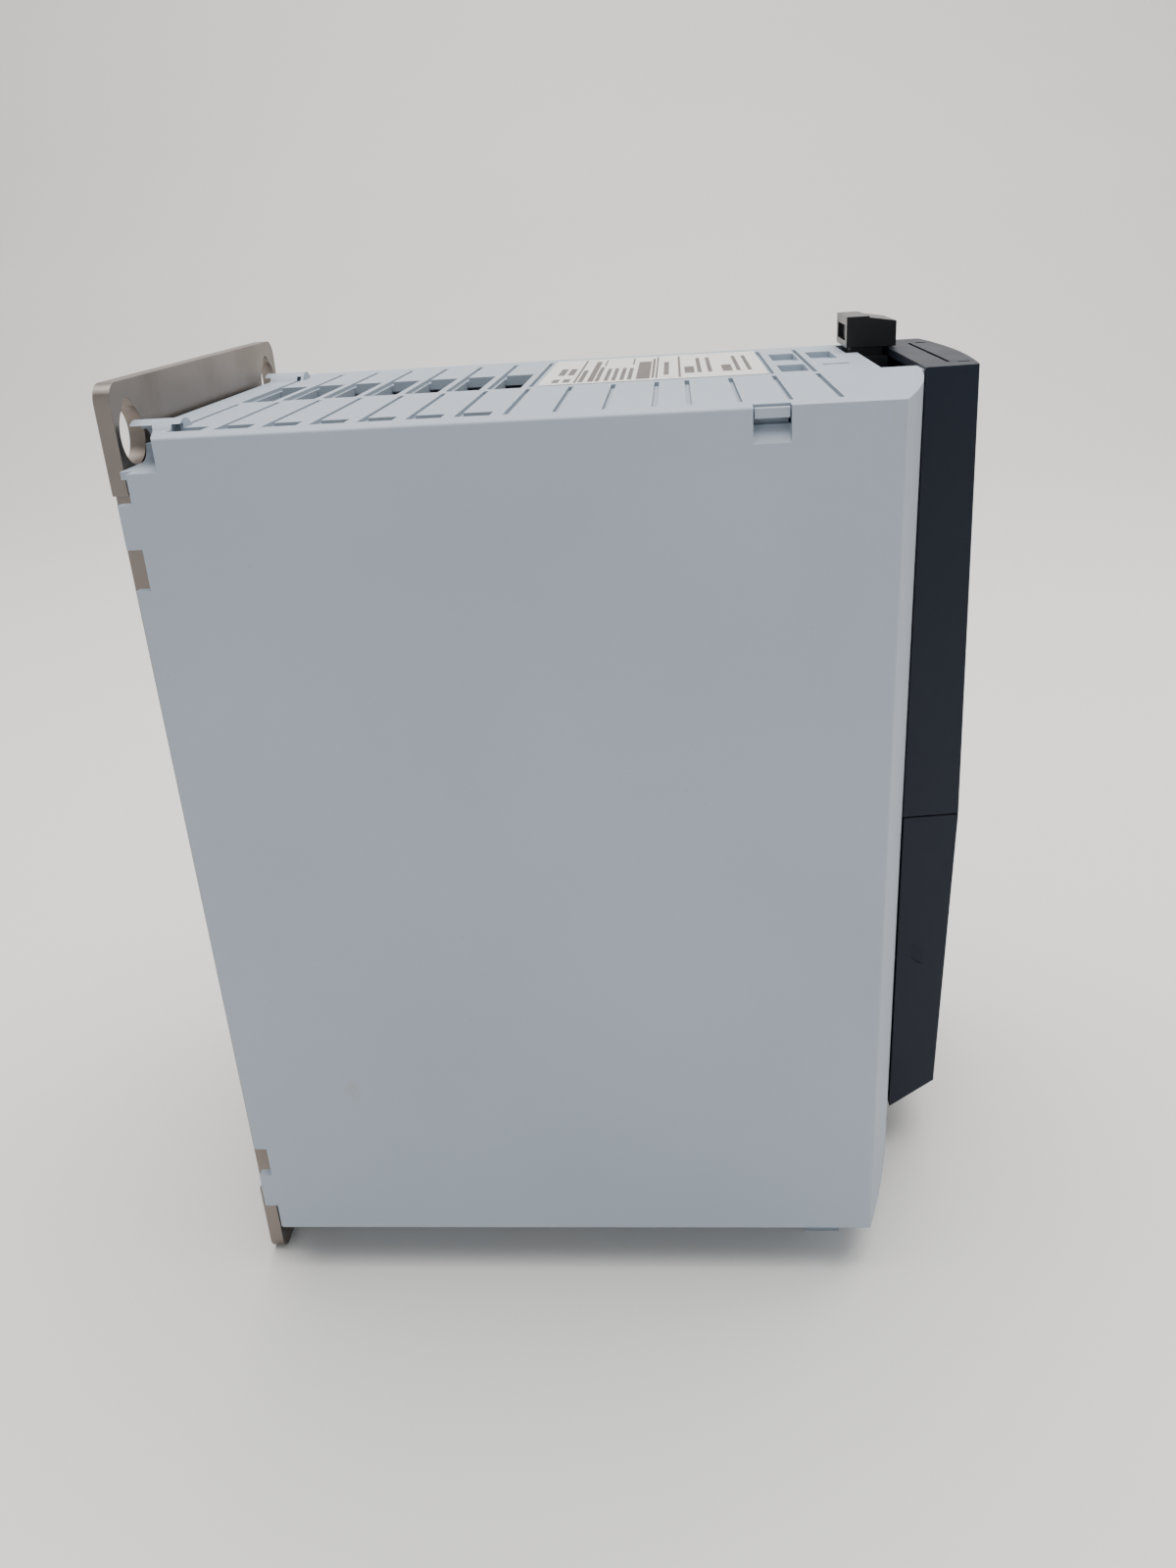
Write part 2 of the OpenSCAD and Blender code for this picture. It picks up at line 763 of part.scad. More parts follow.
module fan_bearing() {
    color("#b08d4f")
    translate([0, fan_y, fan_z + 1.6]) difference() {
        cylinder(d = 5, h = fan_h - 7.2);
        translate([0, 0, 0.1]) cylinder(d = fan_shaft_d + 2 * run_gap, h = fan_h);
    }
}

module fan_screws() {
    color("#8f9295")
    for (sx = [-1, 1], sy = [-1, 1])
        translate([sx * (fan_size / 2 - 5), fan_y + sy * (fan_size / 2 - 5), fan_z]) union() {
            cylinder(d = 4.3, h = fan_h + 1);
            translate([0, 0, fan_h]) cylinder(d = 6.5, h = 1.8);
        }
}

// ---- Cable entry ----

module entry_plate() {
    color("#8d969b")
    difference() {
        block([entry_x0 + 0.2, entry_y0 + 0.2, foot_h], [entry_x1 - 0.2, entry_y1 - 0.2, foot_h + entry_t]);
        for (x = entry_xs)
            translate([x, (entry_y0 + entry_y1) / 2, foot_h - 1]) cylinder(d = entry_hole_d, h = 4);
    }
}

module entry_grommets() {
    color("#17181a")
    for (x = entry_xs)
        translate([x, (entry_y0 + entry_y1) / 2, foot_h]) union() {
            cylinder(d = entry_hole_d, h = entry_t);
            translate([0, 0, -1.6]) difference() {
                cylinder(d = entry_hole_d + 4, h = 1.6);
                translate([0, 0, -1]) cylinder(d = entry_hole_d - 5, h = 2.2);
            }
            translate([0, 0, entry_t]) cylinder(d = entry_hole_d + 3, h = 1.4);
        }
}

// ---- Power section ----

module power_board() {
    color("#2f6b3a")
    difference() {
        block([-power_w / 2, power_y, power_z0], [power_w / 2, power_y + board_t, power_z1]);
        for (x = standoff_xs, z = standoff_zs)
            translate([x, power_y - 1, z]) rod_y(screw_d, board_t + 2);
    }
}

standoff_xs = [-sink_w / 2 + 5, sink_w / 2 - 5];
standoff_zs = [power_z0 + 8, power_z1 - 14];

module board_standoffs() {
    color("#c2a25a")
    for (x = standoff_xs, z = standoff_zs) union() {
        translate([x, power_y + board_t, z])
            rotate([-90, 0, 0]) cylinder(d = 6, h = sink_y - power_y - board_t, $fn = 6);
        translate([x, power_y, z]) rod_y(screw_d, board_t + 1);
        translate([x, power_y - 2, z]) rod_y(5.5, 2);
    }
}

module power_module() {
    color("#2b2d31")
    difference() {
        block([-module_w / 2, power_y + board_t + 1, module_z - module_h / 2],
            [module_w / 2, sink_y, module_z + module_h / 2]);
        for (sx = [-1, 1])
            translate([sx * (module_w / 2 - 5), power_y, module_z]) rod_y(screw_d, sink_y - power_y + 1);
    }
}

module power_module_screws() {
    color("#b9bbbd")
    for (sx = [-1, 1])
        translate([sx * (module_w / 2 - 5), sink_y + sink_base - 1.5, module_z])
            rotate([180, 0, 0]) rod_y(screw_d, sink_y + sink_base - 2 - power_y - board_t);
}

// One bus capacitor, counted from the bottom
module bus_capacitor(i) {
    translate([cap_x, power_y, cap_z + i * cap_pitch]) rotate([90, 0, 0])
        difference() {
            union() {
                cylinder(d = cap_d, h = cap_l);
                translate([0, 0, cap_l]) cylinder(d = cap_d - 2, h = 0.6);
            }
            for (a = [0, 60, 120]) rotate([0, 0, a])
                translate([-cap_d / 3, -0.4, cap_l + 0.2]) cube([cap_d / 1.5, 0.8, 1]);
        }
}

module bus_capacitor_1() {
    color("#22262e") bus_capacitor(0);
}

module bus_capacitor_2() {
    color("#22262e") bus_capacitor(1);
}

module bus_capacitor_3() {
    color("#22262e") bus_capacitor(2);
}

module charge_relay() {
    color("#e08a2c")
    block([-18, power_y - 16, power_z1 - 36], [10, power_y, power_z1 - 22]);
}

module filter_choke() {
    color("#5f7a38")
    translate([22, power_y, power_z0 + 52]) rotate([90, 0, 0])
        rotate_extrude() translate([12, choke_d / 2]) circle(d = choke_d);
}

module terminal_busbars() {
    color("#c07a45")
    for (i = [0:term_count - 1])
        translate([term_x0 + (i + 0.5) * term_pitch - busbar_w / 2, 0, busbar_z])
            block([0, term_y0 + term_l, 0], [busbar_w, power_y, busbar_t]);
}

module power_terminals() {
    color("#2a2c2f")
    difference() {
        block([term_x0, term_y0, term_z0], [term_x0 + term_w, term_y0 + term_l, term_z0 + term_h]);
        for (i = [0:term_count - 1]) {
            x = term_x0 + (i + 0.5) * term_pitch;
            block([x - 2.8, term_y0 - 1, term_z0 + 3], [x + 2.8, term_y0 + 9, term_z0 + term_h - 3]);
            block([x - 2.8, term_y0 + 5, term_z0 - 1], [x + 2.8, term_y0 + 9, term_z0 + 4]);
            translate([x, term_y0 + 8, term_z0 + term_h / 2]) rod_y(screw_d, 6);
        }
    }
}

module power_terminal_screws() {
    color("#c9cccf")
    for (i = [0:term_count - 1])
        translate([term_x0 + (i + 0.5) * term_pitch, term_y0 + 9, term_z0 + term_h / 2])
            pan_screw_y(screw_d, 5, 5.2, 2.2);
}

module earth_screws() {
    color("#b7a04e")
    for (sx = [-1, 1])
        translate([sx * earth_x, earth_y, foot_h - 2]) union() {
            cylinder(d = earth_head_d, h = 2);
            cylinder(d = earth_d, h = wall + 6);
        }
}

// ---- Control section ----

module control_board() {
    color("#1f5c33")
    difference() {
        block([ctrl_x0, ctrl_y, ctrl_z0], [ctrl_x1, ctrl_y + board_t, ctrl_z1]);
        for (x = ctrl_screw_xs, z = ctrl_screw_zs)
            translate([x, ctrl_y - 1, z]) rod_y(screw_d, board_t + 2);
    }
}

module control_screws() {
    color("#8f9295")
    for (x = ctrl_screw_xs, z = ctrl_screw_zs)
        translate([x, ctrl_y + board_t, z]) rotate([180, 0, 0]) pan_screw_y(screw_d, 8, 5.5, 2);
}

module control_chips() {
    color("#26282b")
    for (c = [[18, 30, 14, 14], [40, 34, 10, 8], [14, 56, 8, 12], [38, 58, 9, 9]])
        translate([ctrl_x0 + c[0], ctrl_y - 1.6, split_z + c[1] - 8])
            translate([-c[2] / 2, 0, -c[3] / 2]) cube([c[2], 1.6, c[3]]);
}

ctrl_term_x0 = ctrl_x0 + 1;
ctrl_term_z0 = ctrl_z0 + 4;
ctrl_term_pitch = ctrl_term_w / ctrl_term_count;

module control_terminals() {
    color("#3f7d5a")
    difference() {
        block([ctrl_term_x0, ctrl_y - ctrl_term_l, ctrl_term_z0],
            [ctrl_term_x0 + ctrl_term_w, ctrl_y, ctrl_term_z0 + ctrl_term_h]);
        for (i = [0:ctrl_term_count - 1]) {
            x = ctrl_term_x0 + (i + 0.5) * ctrl_term_pitch;
            translate([x, ctrl_y - ctrl_term_l - 1, ctrl_term_z0 + ctrl_term_h - 4])
                rod_y(3.4, 5);
            block([x - 1.6, ctrl_y - ctrl_term_l + 2, ctrl_term_z0 - 1],
                [x + 1.6, ctrl_y - 2, ctrl_term_z0 + 4]);
        }
    }
}

module control_terminal_screws() {
    color("#c9cccf")
    for (i = [0:ctrl_term_count - 1])
        translate([ctrl_term_x0 + (i + 0.5) * ctrl_term_pitch, ctrl_y - ctrl_term_l + 4,
            ctrl_term_z0 + ctrl_term_h - 4])
            difference() {
                rotate([180, 0, 0]) rod_y(3.2, 2.6);
                translate([-2, -3, -0.3]) cube([4, 1, 0.6]);
            }
}

// Flat cable between the two boards, with a plug on each end
module ribbon_cable() {
    ribbon_w = 24;
    rz = (ctrl_z1 + power_z1) / 2 - 34;
    rx = ctrl_x1 - ribbon_w - 6;
    color("#8e9499")
    union() {
        block([rx, ctrl_y + board_t, rz], [rx + ribbon_w, ctrl_y + board_t + 7, rz + 6]);
        block([rx, power_y - 7, rz], [rx + ribbon_w, power_y, rz + 6]);
        block([rx + 1, ctrl_y + board_t + 6, rz + 2.5], [rx + ribbon_w - 1, power_y - 6, rz + 3.4]);
    }
}

// ---- Socket and plug on the top ----

module top_socket() {
    color("#141517")
    difference() {
        block([socket_x0 + 0.2, cover_back + 0.2, recess_z],
            [in_right - 0.2, socket_y1 - 0.2, body_top - 1.2]);
        block([plug_x0 + 1 - slide_gap, plug_y0 + 3.2 - slide_gap, body_top - plug_in - 1],
            [plug_x0 + plug_w - 1 + slide_gap, plug_y1 - 1.2 + slide_gap, body_top]);
    }
}

module service_plug() {
    color("#101113")
    difference() {
        union() {
            block([plug_x0, plug_y0, plug_skirt_z], [plug_x0 + plug_w, plug_y1, body_top + plug_h]);
            block([plug_x0 + 1, plug_y0 + 3.2, body_top - plug_in],
                [plug_x0 + plug_w - 1, plug_y1 - 1.2, plug_skirt_z + eps]);
        }
        // Lower step along the front of the top
        translate([plug_x0 - 1, plug_y0 - 1, body_top + plug_h - 1.6])
            rotate([9, 0, 0]) cube([plug_w + 2, plug_l - 4.6, 4]);
        // Recess in the back
        block([plug_x0 + 3, plug_y1 - 1.2, plug_skirt_z + 1.6],
            [plug_x0 + plug_w - 3, plug_y1 + 1, body_top + plug_h - 2.2]);
    }
}

// ---- Covers ----

// Space in front of the housing that both covers fill, inset by a wall
module cover_space(inset, lean, z0, z1) {
    intersection() {
        translate([0, 0, z0]) linear_extrude(z1 - z0)
            polygon([[cover_left + inset, cover_back + 1], [cover_left + inset, cover_back],
                [cover_left + inset + cover_draft, front_y - 1],
                [cover_right - inset, front_y - 1], [cover_right - inset, cover_back + 1]]);
        translate([cover_mid, front_y + cover_curve_r, split_z]) rotate([lean, 0, 0])
            cylinder(r = cover_curve_r - inset, h = 3 * body_h, center = true, $fn = 360);
    }
}

module upper_cover() {
    low = split_z + split_gap / 2;
    color("#242a33")
    difference() {
        union() {
            difference() {
                cover_space(0, -cover_lean, low, cover_top);
                cover_space(cover_wall, -cover_lean, low + cover_wall, cover_top - cover_wall);
                block([cover_left - 1, cover_back - eps, low - 1],
                    [cover_right + 1, cover_back + 5, cover_top + 1]);
                block([cover_left + cover_wall, cover_back - 3, low + cover_wall],
                    [cover_right - cover_wall, cover_back + 5, cover_top - cover_wall]);
            }
            intersection() {
                cover_space(0, -cover_lean, low, cover_top);
                block([op_left - slide_gap - rail_w - 2.4, front_y - 1, op_low - slide_gap - 2],
                    [op_left + op_w + slide_gap + rail_w + 2.4, bay_rear + bay_wall, cover_top]);
            }
        }
        block([op_left - slide_gap, front_y - 1, op_low - slide_gap],
            [op_left + op_w + slide_gap, bay_rear, cover_top + 1]);
        block([op_left - 2 * slide_gap - rail_w, op_rear - 2 - rail_l, op_low - slide_gap],
            [op_left + op_w + 2 * slide_gap + rail_w, op_rear - 2 + 2 * slide_gap, cover_top + 1]);
        block([op_mid - 9, bay_rear - 1, op_low + 18], [op_mid + 9, bay_rear + bay_wall + 1, op_low + 26]);
    }
}

module module_contacts() {
    color("#1b1c1e")
    union() {
        block([op_mid - 9, bay_rear + 0.1, op_low + 18], [op_mid + 9, bay_rear + bay_wall + 3, op_low + 26]);
        for (i = [0:7])
            block([op_mid - 8 + i * 2.1, bay_rear - 0.4, op_low + 20],
                [op_mid - 7 + i * 2.1, bay_rear + 0.2, op_low + 24]);
    }
}

// Sloping cut that takes the bottom edge off the lower cover
module chin_cut(inset) {
    rotate([90, 0, 90]) translate([0, 0, cover_left - 5])
        linear_extrude(cover_right - cover_left + 10)
            polygon([[cover_back + 6, cover_low + inset - 5], [cover_back, cover_low + inset],
                [front_y + 2, cover_low + inset + cover_chamfer_h],
                [front_y - 3, cover_low + inset + cover_chamfer_h],
                [front_y - 3, cover_low - 20], [cover_back + 6, cover_low - 20]]);
}

module lower_cover() {
    high = split_z - split_gap / 2;
    color("#222831")
    difference() {
        union() {
            difference() {
                cover_space(0, cover_lean, cover_low - 2, high);
                difference() {
                    cover_space(cover_wall, cover_lean, cover_low - 2, high - cover_wall);
                    chin_cut(cover_wall * 1.3);
                }
                chin_cut(0);
                block([cover_left - 1, cover_back - slide_gap, cover_low - 6],
                    [cover_right + 1, cover_back + 5, high + 1]);
                // Room for the barrel's round back
                block([hinge_x, hinge_y, cover_low - 6], [cover_right + 1, cover_back + 5, high + 1]);
            }
            intersection() {
                translate([hinge_x, hinge_y, cover_low + 2]) cylinder(r = hinge_r, h = high - cover_low - 2);
                difference() {
                    cover_space(0, cover_lean, cover_low - 2, high);
                    chin_cut(0);
                }
            }
        }
        for (z = [low_pin_z, high_pin_z])
            translate([hinge_x, hinge_y, z - slide_gap])
                cylinder(d = hinge_pin_d + 2 * run_gap, h = hinge_len + 2 * slide_gap);
        for (z = [low_pin_z, high_pin_z + hinge_len - lug_h])
            union() {
                // Clears the lug's far corner as the cover swings
                translate([hinge_x, hinge_y, z - slide_gap])
                    cylinder(r = hinge_sweep, h = lug_h + 2 * slide_gap);
                block([hinge_x - hinge_r - slide_gap, hinge_y, z - slide_gap],
                    [cover_right + 1, cover_back + 1, z + lug_h + slide_gap]);
            }
        // Finger grip on the left edge
        translate([cover_left - 0.5, (front_y + cover_back) / 2, split_z - 40])
            rotate([0, 90, 0]) cylinder(d = 9, h = 1.4);
    }
}

module hinge_pins() {
    color("#c9cccf")
    for (z = [low_pin_z, high_pin_z])
        translate([hinge_x, hinge_y, z]) cylinder(d = hinge_pin_d, h = hinge_len);
}

// ---- Operator module ----

key_columns = [-key_pitch_x, 0, key_pitch_x];
key_rows = [key_row_z, key_row_z - key_pitch_z];

module operator_case() {
    color("#2a3039")
    difference() {
        union() {
            intersection() {
                cover_space(0, -cover_lean, op_low, op_top);
                block([op_left, front_y - 1, op_low], [op_left + op_w, op_rear, op_top]);
            }
            block([op_left - rail_w, op_rear - 2 - rail_l + slide_gap, op_low],
                [op_left + op_w + rail_w, op_rear - 2, op_top - 1]);
        }
        // Hollow behind the skin
        block([op_left + op_wall, op_panel_y + op_skin, op_low + op_wall],
            [op_left + op_w - op_wall, op_rear + 1, op_top - op_wall]);
        // Flat panel set into the curved front
        block([op_left + 3, front_y - 1, op_low + 3], [op_left + op_w - 3, op_panel_y, op_top - 6]);
        block([op_mid - display_w / 2, op_panel_y - 1, display_z - display_h / 2],
            [op_mid + display_w / 2, op_panel_y + op_skin + 1, display_z + display_h / 2]);
        for (x = key_columns, z = key_rows)
            block([op_mid + x - key_w / 2 - slide_gap, op_panel_y - 1, z - key_h / 2 - slide_gap],
                [op_mid + x + key_w / 2 + slide_gap, op_panel_y + op_skin + 1, z + key_h / 2 + slide_gap]);
        for (i = [0:lamp_count - 1])
            translate([op_mid + (i - (lamp_count - 1) / 2) * lamp_pitch, op_panel_y - 1, lamp_z])
                rod_y(2.4, op_skin + 2);
        translate([op_mid, op_panel_y - 1, dial_z]) rod_y(dial_shaft_d + 1, op_skin + 2);
    }
}

module operator_back() {
    color("#20252c")
    block([op_left + op_wall, op_rear - op_back_t, op_low + op_wall],
        [op_left + op_w - op_wall, op_rear, op_top - op_wall]);
}

module operator_board() {
    color("#1f5c33")
    block([op_left + op_wall, op_board_y, op_low + op_wall],
        [op_left + op_w - op_wall, op_board_y + op_board_t, op_top - op_wall]);
}

module display_window() {
    color("#1a1216")
    block([op_mid - display_w / 2, op_panel_y + 0.2, display_z - display_h / 2],
        [op_mid + display_w / 2, op_panel_y + 1.2, display_z + display_h / 2]);
}

module display_digits() {
    color("#3a3030")
    block([op_mid - display_w / 2 + 2, op_panel_y + 1.2, display_z - display_h / 2 + 1.5],
        [op_mid + display_w / 2 - 2, op_board_y, display_z + display_h / 2 - 1.5]);
}

module status_lamps() {
    color("#b7d7a8")
    for (i = [0:lamp_count - 1])
        translate([op_mid + (i - (lamp_count - 1) / 2) * lamp_pitch, op_panel_y - 0.4, lamp_z])
            rod_y(2.4, op_board_y - op_panel_y + 0.4);
}

// One key: a cap in its hole, with a flange behind the skin
module key(column, row) {
    translate([op_mid + key_columns[column], op_panel_y, key_rows[row]]) union() {
        translate([0, op_skin + key_flange, 0])
            slab_y(key_w, key_h, op_skin + key_flange + key_rise, 1.2);
        translate([-key_w / 2 - 1, op_skin + 0.05, -key_h / 2 - 1])
            cube([key_w + 2, key_flange, key_h + 2]);
    }
}

module key_back() {
    color("#5a626b") key(0, 0);
}

module key_up() {
    color("#5a626b") key(1, 0);
}

module key_enter() {
    color("#5a626b") key(2, 0);
}

module key_run() {
    color("#2f8f4e") key(0, 1);
}

module key_down() {
    color("#5a626b") key(1, 1);
}

module key_stop() {
    color("#b3302c") key(2, 1);
}

module speed_dial() {
    color("#3b424b")
    difference() {
        translate([op_mid, op_panel_y - slide_gap - dial_h, dial_z]) union() {
            rod_y(dial_d, dial_h);
            for (a = [0:30:330]) rotate([0, a, 0])
                translate([dial_d / 2 - 0.4, 0, -0.6]) cube([0.8, dial_h, 1.2]);
        }
        translate([op_mid - 0.5, op_panel_y - slide_gap - dial_h - eps, dial_z + 2])
            cube([1, 0.6, dial_d / 2]);
        translate([op_mid, op_panel_y - 2, dial_z]) rod_y(dial_shaft_d, 3);
    }
}

module dial_shaft() {
    color("#c9cccf")
    translate([op_mid, op_panel_y - 2, dial_z]) rod_y(dial_shaft_d, op_board_y - op_panel_y + 2 - run_gap);
}

mounting_plate();
plate_screws();
heat_sink();
power_module();
power_module_screws();
left_housing();
right_housing();
housing_screws();
rating_label();
side_latch();
fan_cover();
fan_frame();
fan_rotor();
fan_shaft();
fan_bearing();
fan_screws();
entry_plate();
entry_grommets();
power_board();
bus_capacitor_1();
bus_capacitor_2();
bus_capacitor_3();
charge_relay();
filter_choke();
board_standoffs();
terminal_busbars();
power_terminals();
power_terminal_screws();
earth_screws();
control_board();
control_screws();
control_chips();
control_terminals();
control_terminal_screws();
ribbon_cable();
top_socket();
service_plug();
upper_cover();
lower_cover();
hinge_pins();
module_contacts();
operator_case();
operator_back();
operator_board();
display_window();
display_digits();
status_lamps();
key_back();
key_up();
key_enter();
key_run();
key_down();
key_stop();
speed_dial();
dial_shaft();
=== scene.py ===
# %% [markdown]
# # A panel-mount variable frequency drive
# The drive is a grey plastic housing on a steel fixing plate, with dark covers on
# its front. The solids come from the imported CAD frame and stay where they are.
# This script gives them their looks: rounded edges, print, finishes and light.

# %% Load the frame
import json
import math
import random

import bmesh
import bpy
from mathutils import Matrix, Vector


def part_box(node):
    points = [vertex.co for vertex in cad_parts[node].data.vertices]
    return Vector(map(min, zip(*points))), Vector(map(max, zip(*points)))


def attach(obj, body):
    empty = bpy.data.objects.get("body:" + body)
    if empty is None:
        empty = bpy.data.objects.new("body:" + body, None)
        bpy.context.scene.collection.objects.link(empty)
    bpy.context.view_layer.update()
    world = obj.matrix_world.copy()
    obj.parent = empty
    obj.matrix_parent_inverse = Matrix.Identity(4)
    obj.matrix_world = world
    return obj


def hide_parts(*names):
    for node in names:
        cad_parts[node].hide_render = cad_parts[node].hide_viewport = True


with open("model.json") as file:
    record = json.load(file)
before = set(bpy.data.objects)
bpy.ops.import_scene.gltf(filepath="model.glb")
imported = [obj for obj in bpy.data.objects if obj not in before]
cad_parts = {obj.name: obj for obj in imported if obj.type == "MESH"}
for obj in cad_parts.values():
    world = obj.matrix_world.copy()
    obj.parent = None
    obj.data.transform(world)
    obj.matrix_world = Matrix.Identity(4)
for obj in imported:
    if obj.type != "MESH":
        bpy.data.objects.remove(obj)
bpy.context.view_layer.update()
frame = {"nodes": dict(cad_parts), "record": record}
nodes = frame["nodes"]
MM = 0.001

# %% [markdown]
# The camera stands to the left of the drive and looks down at its side wall. A
# lens of about 28 mm on a 36 mm film gives the strong perspective of a picture
# taken by hand from arm's length.

# %% Camera
CAMERA_PLACE = (-0.3019, -0.0221, 0.2461)
CAMERA_TURN = (66.08, 3.31, -86.45)
CAMERA_LENS = 28.15

camera_data = bpy.data.cameras.new("camera")
camera_data.lens = CAMERA_LENS
camera_data.sensor_width = 36
camera_data.clip_start = 0.01
camera = bpy.data.objects.new("camera", camera_data)
camera.location = CAMERA_PLACE
camera.rotation_euler = [math.radians(a) for a in CAMERA_TURN]
bpy.context.scene.collection.objects.link(camera)
bpy.context.scene.camera = camera
print("camera", CAMERA_PLACE)

# %% [markdown]
# The studio is a pale floor that curves up into a wall, so no horizon cuts
# through the picture. A swept profile with a round cove is one strip of faces:
# a line of vertices is extruded along the profile.

# %% Floor and lights
COVE_RADIUS = 0.6
COVE_STEPS = 16
FLOOR_HALF = 12.0
WALL_X = 1.6
WALL_TOP = 3.0


def link(name, bm):
    """Turns a bmesh into a mesh object in the scene."""
    mesh = bpy.data.meshes.new(name)
    bm.to_mesh(mesh)
    bm.free()
    piece = bpy.data.objects.new(name, mesh)
    bpy.context.scene.collection.objects.link(piece)
    return piece


def studio_floor():
    bm = bmesh.new()
    corners = [bm.verts.new((-FLOOR_HALF, y, 0)) for y in (-FLOOR_HALF, FLOOR_HALF)]
    edge = bm.edges.new(corners)
    path = [Vector((WALL_X - COVE_RADIUS, 0, 0))]
    for i in range(1, COVE_STEPS + 1):
        a = math.radians(90 * i / COVE_STEPS)
        path.append(Vector((WALL_X - COVE_RADIUS + COVE_RADIUS * math.sin(a), 0,
                            COVE_RADIUS - COVE_RADIUS * math.cos(a))))
    path.append(Vector((WALL_X, 0, WALL_TOP)))
    last = Vector((-FLOOR_HALF, 0, 0))
    for place in path:
        made = bmesh.ops.extrude_edge_only(bm, edges=[edge])["geom"]
        verts = [g for g in made if isinstance(g, bmesh.types.BMVert)]
        bmesh.ops.translate(bm, verts=verts, vec=place - last)
        edge = next(g for g in made if isinstance(g, bmesh.types.BMEdge)
                    and all(v in verts for v in g.verts))
        last = place
    for face in bm.faces:
        face.smooth = True
    bmesh.ops.recalc_face_normals(bm, faces=bm.faces)
    return link("studio_floor", bm)


floor = studio_floor()


def area_light(name, place, target, size, watts, colour):
    data = bpy.data.lights.new(name, "AREA")
    data.shape = "RECTANGLE"
    data.size, data.size_y = size
    data.energy = watts
    data.color = colour
    lamp = bpy.data.objects.new(name, data)
    lamp.location = place
    aim = Vector(target) - Vector(place)
    lamp.rotation_euler = aim.to_track_quat("-Z", "Y").to_euler()
    bpy.context.scene.collection.objects.link(lamp)


area_light("overhead_softbox", (0.15, -0.1, 1.7), (0, 0, 0.1), (1.9, 1.9), 61, (1.0, 0.985, 0.965))
area_light("side_fill", (-1.6, 0.2, 0.75), (0, 0, 0.10), (1.5, 1.2), 5.0, (0.95, 0.975, 1.0))
area_light("front_fill", (-0.3, -1.7, 0.7), (0, 0, 0.12), (0.9, 0.9), 0.6, (1.0, 0.99, 0.97))

world = bpy.data.worlds.new("studio_air")
world.use_nodes = True
world.node_tree.nodes["Background"].inputs["Color"].default_value = (0.80, 0.82, 0.85, 1)
world.node_tree.nodes["Background"].inputs["Strength"].default_value = 0.42
bpy.context.scene.world = world
print("lights and floor in place")

# %% [markdown]
# Every finish is built from a few shader node groups. A group is made once, with
# named sockets, and placed in each material with its own values, as a moulder
# uses one grain on many tools. Patterns read Object coordinates, in metres, so a
# scale of 2000 gives features of about half a millimetre.

# %% Helpers for shader nodes
def set_inputs(node, values):
    """Sets or links a node's inputs by name."""
    tree = node.id_data
    for name, value in values.items():
        socket = node.inputs[name]
        if isinstance(value, bpy.types.NodeSocket):
            tree.links.new(value, socket)
        else:
            socket.default_value = value


def add(tree, kind, values=None, **settings):
    node = tree.nodes.new(kind)
    for name, value in settings.items():
        setattr(node, name, value)
    set_inputs(node, values or {})
    return node


def math_node(tree, operation, a, b=0.0, clamp=False):
    node = tree.nodes.new("ShaderNodeMath")
    node.operation = operation
    node.use_clamp = clamp
    set_inputs(node, {0: a})
    if len(node.inputs) > 1:
        set_inputs(node, {1: b})
    return node.outputs[0]


def mix_colour(tree, factor, a, b, blend="MIX"):
    node = tree.nodes.new("ShaderNodeMix")
    node.data_type = "RGBA"
    node.blend_type = blend
    for socket, value in ((node.inputs[0], factor), (node.inputs[6], a), (node.inputs[7], b)):
        if isinstance(value, bpy.types.NodeSocket):
            tree.links.new(value, socket)
        else:
            socket.default_value = value
    return node.outputs[2]


def ramp(tree, value, low, high):
    """A smooth step from 0 at low to 1 at high."""
    node = add(tree, "ShaderNodeMapRange", {"Value": value, "From Min": low, "From Max": high},
               interpolation_type="SMOOTHSTEP")
    return node.outputs["Result"]


def new_group(name, inputs, outputs):
    group = bpy.data.node_groups.new(name, "ShaderNodeTree")
    for label, kind, default in inputs:
        socket = group.interface.new_socket(label, in_out="INPUT", socket_type=kind)
        socket.default_value = default
    for label, kind in outputs:
        group.interface.new_socket(label, in_out="OUTPUT", socket_type=kind)
    return group, group.nodes.new("NodeGroupInput"), group.nodes.new("NodeGroupOutput")


FLOAT, COLOUR = "NodeSocketFloat", "NodeSocketColor"
print("shader helpers ready")

# %% [markdown]
# Moulded plastic has three things that a plain colour lacks. A fine spark-eroded
# grain breaks up its gloss, its colour drifts slightly over a hand's width, and
# handling leaves faint smudges and small dark specks.

